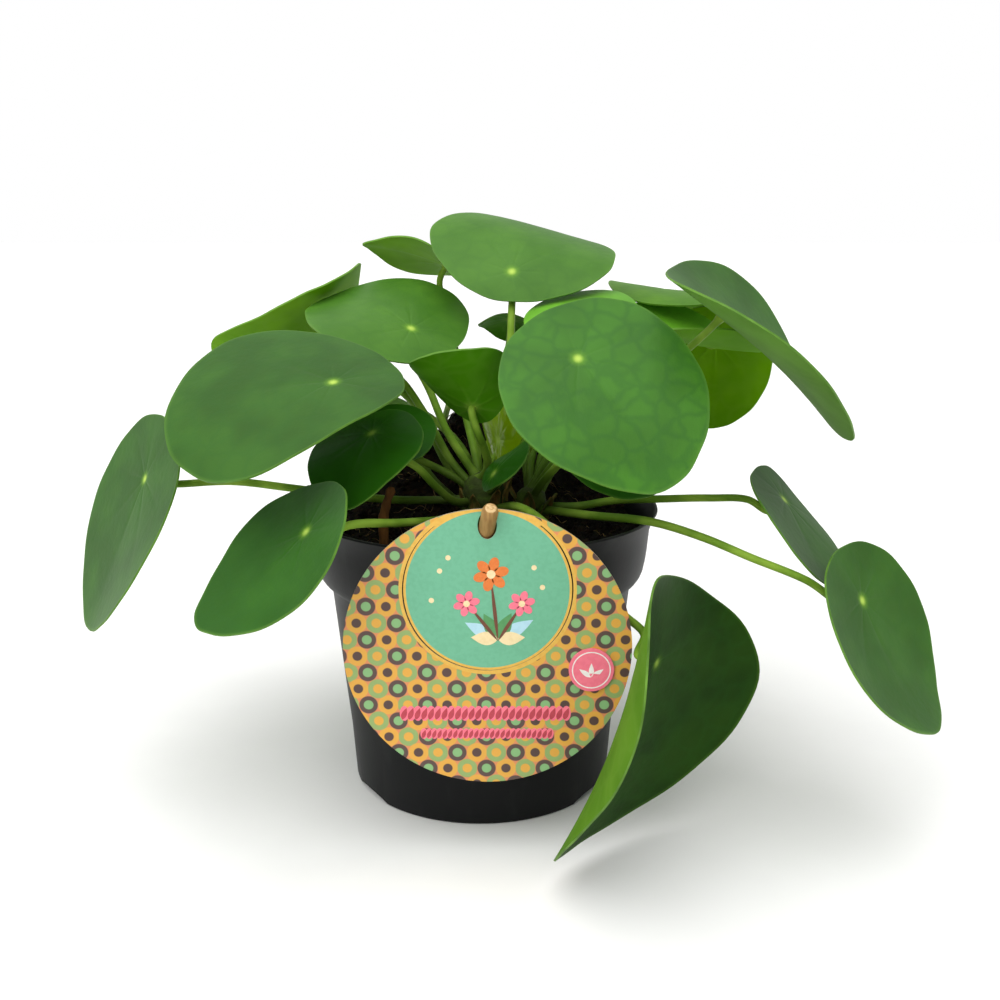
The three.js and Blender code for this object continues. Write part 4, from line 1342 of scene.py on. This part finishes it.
    def roots(self, draw: random.Random) -> bpy.types.Object:
        """Lay thin roots over the soil, most of them at the left and the back.

        Args:
            draw: the seeded source of chance.

        Returns:
            All roots as one mesh.
        """
        paths, radii = [], []
        steps = self.root_steps
        gathered, strewn = self.root_scatter
        for i in range(self.root_count):
            angle = (math.radians(self.root_bearing)
                     + draw.gauss(0, gathered if i % 3 else strewn))
            distance = draw.uniform(*self.root_places)
            x, y = distance * math.cos(angle), distance * math.sin(angle)
            heading = draw.random() * math.tau
            length = draw.uniform(*self.root_lengths)
            points = []
            for k in range(steps + 1):
                lift = 0.25 + 1.5 * math.sin(math.pi * k / steps) * draw.random()
                points.append(Vector((x, y, self.surface(x, y) + lift)))
                heading += draw.gauss(0, 0.45)
                x += math.cos(heading) * length / steps
                y += math.sin(heading) * length / steps
                if math.hypot(x, y) > self.root_limit:
                    x, y = x * 0.95, y * 0.95
                    heading += 1.2
            path = through(points, 2)
            paths.append(path)
            radii.append(self.tapered(draw.uniform(*self.root_widths), self.root_taper,
                                      len(path)))
        return strands("fine_roots", paths, radii, roundness=0)

    def fibres(self, draw: random.Random) -> bpy.types.Object:
        """Stand dark peat fibres: one tuft at the left by the rim, one on the mound.

        Args:
            draw: the seeded source of chance.

        Returns:
            All fibres as one mesh.
        """
        paths, radii = [], []
        for tuft in self.tufts:
            for _ in range(tuft.count):
                foot = Vector((draw.uniform(*tuft.feet_x), draw.uniform(*tuft.feet_y), 0))
                foot.z = self.height(foot.x, foot.y) - 1
                tip = Vector((draw.uniform(*tuft.lean_x), draw.uniform(*tuft.lean_y),
                              draw.uniform(*tuft.rise)))
                sway = Vector((draw.gauss(0, 1), draw.gauss(0, 1), 0))
                path = through([foot, foot + tip * 0.35 + sway, foot + tip * 0.7 - sway * 0.6,
                                foot + tip], 4)
                paths.append(path)
                radii.append(self.tapered(draw.uniform(*tuft.width), tuft.taper, len(path)))
        return strands("peat_fibres", paths, radii, roundness=0)

    def stipule(self) -> bpy.types.Object:
        """Model one dry scale: pointed, hollow towards the stem and frayed at its tip."""
        deselect()
        bpy.ops.mesh.primitive_grid_add(x_subdivisions=8, y_subdivisions=12, size=2)
        scale = bpy.context.active_object
        scale.name = "stipule"
        for vertex in scale.data.vertices:
            across, along = vertex.co.x, (vertex.co.y + 1) / 2
            half = self.stipule_width / 2 * (1 - along**2.2) ** 0.7 + 0.12
            side = half * across
            bow = (self.stipule_curl * across**2 + self.stipule_bow * along**2
                   + self.stipule_crinkle * math.sin(9 * across + 7 * along))
            vertex.co = Vector((bow, side, self.stipule_length * along)) * MM
        keep_modifier(scale, "SOLIDIFY", thickness=self.stipule_thickness * MM, offset=0)
        coat(scale, STIPULE.make())
        return scale

    def stem(self, name: str, place: Point, draw: random.Random) -> None:
        """Make one short scarred stem, with its dry scales, in place of its CAD node.

        Args:
            name: the stem's name.
            place: the stem's x, y and radius.
            draw: the seeded source of chance.
        """
        x, y, radius = place
        top = self.stem_tops[name]
        shoulder = top - radius * 0.9
        rings: list[Flat] = []
        for i in range(self.stem_steps + 1):
            z = self.stem_foot + (shoulder - self.stem_foot) * i / self.stem_steps
            rings.append((radius * (0.97 + self.scar_depth * math.sin(z * self.scar_rate)), z))
        rings += [(radius * share, top - radius * drop) for share, drop in self.stem_dome]
        stem = ring_up(rings, 40, f"stem_{name}_core")
        for vertex in stem.data.vertices:
            spot = vertex.co / MM
            swell = 1 + 0.05 * noise.noise(spot * 0.35) + 0.03 * noise.noise(spot * 1.1)
            vertex.co.x = vertex.co.x * swell + x * MM
            vertex.co.y = vertex.co.y * swell + y * MM
        face_outwards(stem)
        coat(stem, BARK.make())
        scales = []
        for i in range(self.stipule_count):
            bearing = math.radians(-110 + 360 * i / self.stipule_count + draw.uniform(-15, 15))
            out = radius - self.stipule_sink
            foot = Vector((x + out * math.cos(bearing), y + out * math.sin(bearing),
                           top - radius - draw.uniform(0, 6)))
            turn = Matrix.Rotation(bearing, 4, "Z") @ Matrix.Rotation(
                math.radians(draw.uniform(0, 22)), 4, "Y")
            scale = copy_of(self.scale)
            scale.data.transform(Matrix.Translation(foot * MM) @ turn
                                 @ Matrix.Scale(draw.uniform(0.6, 1), 4))
            scales.append(scale)
        piece = join(f"stem_{name}_fine", [stem, *scales])
        smooth(piece, 60)
        hand_over(piece, "stem", f"stem_{name}")

    def dry_stalk(self) -> None:
        """Make the dry, flattened stalk in place of its CAD node."""
        path = through([Vector(point) for point in self.dry_points], 8)
        last = len(path) - 1
        widths = [self.dry_radius - self.dry_taper * i / last
                  + self.dry_ripple * math.sin(i * 1.7) for i in range(last + 1)]
        widths[-1] *= self.dry_end
        stalk = strands("dry_stalk_fine", [path], [widths], roundness=3)
        middle = self.dry_points[0][1]
        for vertex in stalk.data.vertices:
            spot = vertex.co / MM
            vertex.co.y = (middle + (spot.y - middle) * self.dry_flatness
                           + 0.25 * noise.noise(spot * 0.6)) * MM
            vertex.co.x += 0.3 * noise.noise(spot * 0.35 + Vector((9, 0, 0))) * MM
        coat(stalk, DRY_STALK.make())
        hand_over(stalk, "dry_stalk", "dry_stalk")

    def build(self, stems: dict[str, Point]) -> None:
        """Make the soil, the roots, the stems and the dry stalk.

        Args:
            stems: x, y and radius of each stem, by its name.
        """
        draw = random.Random(self.seed)
        soil = join("soil_fine", [self.bed(), *self.crumbs(draw)])
        coat(soil, PEAT.make())
        smooth(soil, 60)
        hand_over(soil, "soil", "soil")
        for piece, finish in ((self.roots(draw), ROOT), (self.fibres(draw), PEAT_FIBRE)):
            coat(piece, finish.make())
            hand_over(piece, "soil")
        self.scale = self.stipule()
        for name, place in stems.items():
            self.stem(name, place, draw)
        bpy.data.objects.remove(self.scale)
        self.dry_stalk()


class Ink(Enum):
    """Printing inks of the card, each with the darker shade of its mottle."""

    MINT = ("6db18f", "69ac8a")
    MUSTARD = ("deb050", "d8a848")
    PINK = ("f2788c", "ee7187")
    ORANGE = ("df7a38", "d97434")
    SKY = ("b0d4e2", "a9cedd")
    CREAM = ("ecd6a8", "e6cf9e")
    BROWN = ("6f4331", "693f2e")
    LEAF = ("55925a", "508d56")
    ROSE = ("b8434f", "b03c49")
    WHITE = ("f2ece8", "ece4e0")


@dataclass
class CardTag:
    """A round printed card with a die-cut disc, a sticker and a wooden peg.

    `slit` is the slit's least and greatest width, and `gapes` the angles where it is widest.
    `rows` holds the height, leaf size, first x and last x of each row of small leaves. The
    peg's foot and head hold each ring's share of its radius and its place along it.
    """

    back: float = -60.3
    thickness: float = 0.8
    radius: float = 42.8
    centre: Flat = (2.8, 66.7)
    disc_radius: float = 24.7
    disc_centre: Flat = (2.9, 84.9)
    inner_border: float = 0.75
    outer_border: float = 0.95
    edge_margin: float = 0.05
    slit: Pair = (0.12, 0.42)
    gapes: Pair = (205.0, 20.0)
    bridge: float = 76.0
    hole_centre: Flat = (2.8, 104.6)
    hole_half: Flat = (2.8, 4.1)
    rows: tuple[tuple[float, float, float, float], ...] = ((44.3, 4.0, -22.2, 26.4),
                                                           (38.3, 2.9, -16.4, 21.6))
    row_count: int = 25
    row_lean: float = 70.0
    sticker_radius: float = 6.7
    sticker_centre: Flat = (33.6, 60.4)
    sticker_thickness: float = 0.75
    mark_ring: Pair = (0.86, 0.81)
    mark_leaf: Pair = (4.4, 1.5)
    mark_turns: tuple[float, ...] = (35, 90, 145)
    peg_radius: float = 2.4
    peg_foot: Point = (-0.2, -42.5, 86.1)
    peg_tip: Point = (3.9, -67.2, 111.2)
    peg_foot_rings: tuple[Pair, ...] = ((0.3, 0), (0.8, 1.2), (1, 4))
    peg_head_rings: tuple[Pair, ...] = ((0.98, -1.9), (0.92, -1.1), (0.82, -0.45), (0.66, 0),
                                        (0.3, 0.05))
    film: float = 0.06
    inks: dict[Ink, bpy.types.Material] = field(init=False)
    core: bpy.types.Material = field(init=False)

    @property
    def front(self) -> float:
        """Depth of the card's printed face."""
        return self.back - self.thickness

    def flat_form(self, name: str, outlines: list[list[Flat]], front: float,
                  thickness: float) -> bpy.types.Object:
        """Cut a flat form from a sheet that stands upright, holes and all.

        Args:
            name: the object's name.
            outlines: closed outlines in x and z, in mm; inner ones are holes.
            front: depth of the form's face, in mm.
            thickness: the sheet's thickness, in mm.

        Returns:
            The form as a mesh.
        """
        deselect()
        bpy.ops.curve.primitive_bezier_circle_add()
        form = bpy.context.active_object
        form.name = name
        curve = form.data
        curve.splines.clear()
        curve.dimensions = "2D"
        curve.fill_mode = "BOTH"
        curve.extrude = thickness / 2 * MM
        for outline in outlines:
            spline = curve.splines.new("POLY")
            spline.points.add(len(outline) - 1)
            for spot, (x, z) in zip(spline.points, outline):
                spot.co = (x * MM, z * MM, 0, 1)
            spline.use_cyclic_u = True
        take(form)
        bpy.ops.object.convert(target="MESH")
        form.rotation_euler = (math.pi / 2, 0, 0)
        form.location = (0, (front + thickness / 2) * MM, 0)
        settle(form)
        face_outwards(form)
        return form

    def printed(self, name: str, ink: Ink, outlines: list[list[Flat]],
                layer: float = 1) -> bpy.types.Object:
        """Print one form on the card's face in one ink.

        Args:
            name: the object's name.
            ink: the ink.
            outlines: closed outlines in x and z, in mm.
            layer: how many films lie under its top.

        Returns:
            The printed form.
        """
        front = self.front - self.film * (1 + (layer - 1) / 2)
        form = self.flat_form(name, outlines, front, self.film * (1 + layer / 2))
        coat(form, self.inks[ink])
        return form

    def faced(self, sheet: bpy.types.Object, face: bpy.types.Material) -> None:
        """Give a sheet a printed face and bare card everywhere else.

        Args:
            sheet: the sheet.
            face: the material of its front.
        """
        coat(sheet, face, self.core)
        for polygon in sheet.data.polygons:
            polygon.material_index = 0 if polygon.normal.y < -0.9 else 1

    @staticmethod
    def oval(centre: Flat, half_width: float, half_height: float, sides: int = 96,
             turn: float = 0.0) -> list[Flat]:
        """List an oval's points.

        Args:
            centre: its centre in x and z.
            half_width: half its width.
            half_height: half its height.
            sides: how many points.
            turn: its turn in degrees.

        Returns:
            The points in x and z.
        """
        c, s = math.cos(math.radians(turn)), math.sin(math.radians(turn))
        points = []
        for i in range(sides):
            a = half_width * math.cos(i / sides * math.tau)
            b = half_height * math.sin(i / sides * math.tau)
            points.append((centre[0] + a * c - b * s, centre[1] + a * s + b * c))
        return points

    @staticmethod
    def leaf_form(foot: Flat, length: float, width: float, turn: float) -> list[Flat]:
        """List the points of a small pointed leaf that grows from a foot.

        Args:
            foot: where it starts, in x and z.
            length: its length.
            width: its greatest width.
            turn: its direction in degrees.

        Returns:
            The points in x and z.
        """
        c, s = math.cos(math.radians(turn)), math.sin(math.radians(turn))
        steps = 12
        side = [(length * i / steps, width / 2 * math.sin(math.pi * (i / steps) ** 0.8))
                for i in range(steps + 1)]
        points = side + [(a, -b) for a, b in reversed(side[1:-1])]
        return [(foot[0] + a * c - b * s, foot[1] + a * s + b * c) for a, b in points]

    def ring(self, centre: Flat, outer: float, inner: float) -> list[list[Flat]]:
        """List a ring's two outlines round a centre."""
        return [self.oval(centre, outer, outer), self.oval(centre, inner, inner)]

    def slit_width(self, angle: float) -> float:
        """Width of the slit at an angle round the disc: it gapes low left and high right."""
        low, high = self.slit
        near = max(math.cos(angle - math.radians(gape)) for gape in self.gapes)
        return low + (high - low) * max(0.0, near) ** 2

    def slit_outline(self) -> list[Flat]:
        """List the outline of the slit, which leaves a bridge at the top."""
        half = math.radians(self.bridge / 2)
        steps = 90
        angles = [math.pi / 2 + half + (math.tau - 2 * half) * i / steps
                  for i in range(steps + 1)]
        x, z = self.disc_centre
        outer = [(self.disc_radius + self.slit_width(a), a) for a in angles]
        inner = [(self.disc_radius, a) for a in reversed(angles)]
        return [(x + r * math.cos(a), z + r * math.sin(a)) for r, a in outer + inner]

    def on_card(self, outline: list[Flat]) -> list[Flat]:
        """Draw an outline's points in to the card's edge where they pass it."""
        x, z = self.centre
        inside = []
        for px, pz in outline:
            away = math.hypot(px - x, pz - z)
            share = min(1.0, (self.radius - self.edge_margin) / away)
            inside.append((x + (px - x) * share, z + (pz - z) * share))
        return inside

    def card(self) -> list[bpy.types.Object]:
        """Make the card's sheet with its slit, its dotted print and the border's print."""
        hole = self.oval(self.hole_centre, *self.hole_half, sides=40)
        card = self.flat_form("tag_card_fine", [
            self.oval(self.centre, self.radius, self.radius, 180), self.slit_outline(), hole],
            self.front, self.thickness)
        self.faced(card, DottedPrint().make())
        reach = self.disc_radius + self.slit[1] + self.outer_border
        inner = self.disc_radius - self.inner_border
        border = self.printed("disc_border", Ink.MUSTARD, [
            self.on_card(self.oval(self.disc_centre, reach, reach, 180)), self.slit_outline(),
            self.oval(self.disc_centre, inner, inner, 180)])
        mint = self.printed("disc_ground", Ink.MINT,
                            [self.oval(self.disc_centre, inner, inner, 180), hole])
        return [card, border, mint]

    def sprig(self) -> list[bpy.types.Object]:
        """Print a sprig of three flowers on the disc."""
        x, z = self.disc_centre
        forms = []
        # Leaves: length, direction and ink.
        leaves = ((11, 152, Ink.SKY), (12, 30, Ink.SKY), (9, 118, Ink.LEAF),
                  (9, 64, Ink.LEAF), (8, 176, Ink.CREAM), (8, 4, Ink.CREAM))
        # Flowers: place from the disc's middle, petal size and ink.
        flowers = ((1, 5, 3.6, Ink.ORANGE), (-6.2, -4, 2.7, Ink.PINK),
                   (10, -4, 2.7, Ink.PINK))
        for layer, (reach, turn, ink) in enumerate(leaves, 3):
            outline = self.leaf_form((x + 3, z - 15), reach, 4.2, turn)
            forms.append(self.printed("sprig_leaf", ink, [outline], layer / 2))
        for length, turn in ((20.0, 96.0), (14.0, 128.0), (13.0, 58.0)):
            forms.append(self.printed(
                "sprig_stem", Ink.BROWN, [self.leaf_form((x + 3, z - 15.5), length, 1.1, turn)],
                4.5))
        for dx, dz, size, ink in flowers:
            for turn in range(15, 375, 60):
                place = (x + dx + size * 0.85 * math.cos(math.radians(turn)),
                         z + dz + size * 0.85 * math.sin(math.radians(turn)))
                forms.append(self.printed(
                    "petal", ink, [self.oval(place, size * 0.62, size * 0.42, 20, turn)], 5))
            forms.append(self.printed(
                "eye", Ink.CREAM, [self.oval((x + dx, z + dz), size * 0.36, size * 0.36, 20)],
                6))
        for dx, dz in ((-14, 6), (-11.5, 10), (13.5, 7), (16, 1), (-16.5, -3)):
            forms.append(self.printed("speck", Ink.CREAM,
                                      [self.oval((x + dx, z + dz), 0.8, 0.8, 16)], 2))
        return forms

    def ornament(self) -> list[bpy.types.Object]:
        """Print two rows of small rose leaves, each on a pink cloud, low on the card."""
        forms = []
        for height, size, start, end in self.rows:
            step = (end - start) / (self.row_count - 1)
            for i in range(self.row_count):
                x = start + i * step
                cloud = self.oval((x, height + size / 2), step * 0.68, size * 0.6, 24)
                forms.append(self.printed("row_cloud", Ink.PINK, [cloud], 1 + i % 2))
                outline = self.leaf_form((x - size * 0.17, height), size, size * 0.4,
                                         self.row_lean)
                forms.append(self.printed("row_leaf", Ink.ROSE, [outline], 3))
        return forms

    def sticker(self) -> None:
        """Make the round pink sticker in place of its CAD node."""
        r = self.sticker_radius
        front = self.front - self.thickness
        body = self.flat_form("sticker_body", [self.oval(self.sticker_centre, r, r)], front,
                              self.sticker_thickness)
        coat(body, self.inks[Ink.PINK])
        x, z = self.sticker_centre
        outer, inner = self.mark_ring
        length, width = self.mark_leaf
        marks = self.ring((x, z), r * outer, r * inner)
        marks += [self.leaf_form((x, z - length / 2), length, width, turn)
                  for turn in self.mark_turns]
        white = self.flat_form("sticker_marks", marks, front - 0.02, 0.1)
        coat(white, self.inks[Ink.WHITE])
        hand_over(join("tag_sticker_fine", [body, white]), "sticker", "tag_sticker")

    def peg(self) -> None:
        """Make the round wooden peg, with its blunt sawn end, in place of its CAD node."""
        foot, tip = Vector(self.peg_foot), Vector(self.peg_tip)
        length = (tip - foot).length
        r = self.peg_radius
        rings: list[Flat] = [(r * share, along) for share, along in self.peg_foot_rings]
        rings += [(r * (1 + 0.012 * math.sin(k)), 4 + (length - 6) * k / 14)
                  for k in range(1, 15)]
        rings += [(r * share, length + along) for share, along in self.peg_head_rings]
        peg = ring_up(rings, 40, "tag_peg_fine")
        face_outwards(peg)
        coat(peg, BIRCH.make(), BIRCH_END.make())
        for polygon in peg.data.polygons:
            at_end = polygon.normal.z > 0.9 and polygon.center.z > (length - 1) * MM
            polygon.material_index = 1 if at_end else 0
        turn = Vector((0, 0, 1)).rotation_difference(tip - foot).to_matrix().to_4x4()
        peg.data.transform(Matrix.Translation(foot * MM) @ turn)
        smooth(peg, 50)
        hand_over(peg, "peg", "tag_peg")

    def build(self) -> None:
        """Make the whole tag."""
        self.inks = {ink: MottledFinish(f"ink_{ink.name.lower()}", *ink.value, 1.4, 0.5, 0.01,
                                        0.5, specular=0.35).make() for ink in Ink}
        self.core = CARD_CORE.make()
        print_forms = self.card() + self.sprig() + self.ornament()
        hand_over(join("tag_card_fine", print_forms), "card", "tag_card")
        self.sticker()
        self.peg()


@dataclass
class Studio:
    """A pale floor, soft light and the camera."""

    camera_place: Point = (0.0065, -0.380, 0.1887)
    camera_pitch: float = 13.5
    focal_pixels: float = 1144.0
    frame_pixels: float = 1000.0
    sensor: float = 36.0
    floor_size: float = 24.0
    sun_lean: Pair = (20, -12)
    sun_strength: float = 2.1
    sun_spread: float = 70.0
    lamp_place: Point = (-0.55, -0.9, 0.75)
    lamp_size: float = 0.8
    lamp_power: float = 2.5
    aim_height: float = 0.1
    sky_low: float = 0.6
    sky_high: float = 1.0
    sky_seen: float = 1.0
    sky_full: float = 0.9

    def camera(self) -> None:
        """Stand the camera where the photograph was taken from."""
        data = bpy.data.cameras.new("camera")
        data.sensor_width = self.sensor
        data.lens = self.sensor * self.focal_pixels / self.frame_pixels
        data.clip_start = 0.01
        camera = bpy.data.objects.new("camera", data)
        camera.location = self.camera_place
        camera.rotation_euler = (math.radians(90 - self.camera_pitch), 0, 0)
        bpy.context.collection.objects.link(camera)
        bpy.context.scene.camera = camera

    def floor(self) -> None:
        """Lay the floor."""
        deselect()
        bpy.ops.mesh.primitive_plane_add(size=self.floor_size, location=(0, 0, 0))
        floor = bpy.context.active_object
        floor.name = "floor"
        coat(floor, PALE_FLOOR.make())

    def sun(self) -> None:
        """Shine broad even light from above."""
        data = bpy.data.lights.new("high_window", "SUN")
        data.energy = self.sun_strength
        data.angle = math.radians(self.sun_spread)
        sun = bpy.data.objects.new("high_window", data)
        sun.rotation_euler = (*map(math.radians, self.sun_lean), 0)
        bpy.context.collection.objects.link(sun)

    def lamp(self) -> None:
        """Hang one square soft light in front that faces the plant."""
        data = bpy.data.lights.new("front_light", "AREA")
        data.size = self.lamp_size
        data.energy = self.lamp_power
        lamp = bpy.data.objects.new("front_light", data)
        lamp.location = self.lamp_place
        aim = Vector((0, 0, self.aim_height)) - Vector(self.lamp_place)
        lamp.rotation_euler = aim.to_track_quat("-Z", "Y").to_euler()
        bpy.context.collection.objects.link(lamp)

    def sky(self) -> None:
        """Fill the room with light that is dim near the floor and bright overhead."""
        world = bpy.data.worlds.new("white_room")
        world.use_nodes = True
        tree = world.node_tree
        way = add_node(tree, "TexCoord", out="Generated")
        height = add_node(tree, "SeparateXYZ", {0: way}, out=2)
        light = add_node(tree, "MapRange", {0: height, 1: 0.0, 2: self.sky_full,
                                            3: self.sky_low, 4: self.sky_high})
        seen = add_node(tree, "LightPath", out="Is Camera Ray")
        power = add_node(tree, "Mix", {0: seen, 2: light, 3: self.sky_seen})
        background = tree.nodes["Background"]
        background.inputs["Color"].default_value = linear("ffffff")
        tree.links.new(power, background.inputs["Strength"])
        bpy.context.scene.world = world

    def build(self) -> None:
        """Set up camera, floor and light."""
        self.camera()
        self.floor()
        self.sky()
        self.sun()
        self.lamp()
        bpy.context.scene.view_settings.view_transform = "Standard"


def main() -> None:
    """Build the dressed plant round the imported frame."""
    logging.basicConfig(level=logging.INFO, format="%(name)s: %(message)s")
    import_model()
    Studio().build()
    foliage = Foliage()
    NurseryPot().build()
    Potting().build(foliage.stems)
    foliage.build()
    CardTag().build()


if __name__ == "__main__":
    main()
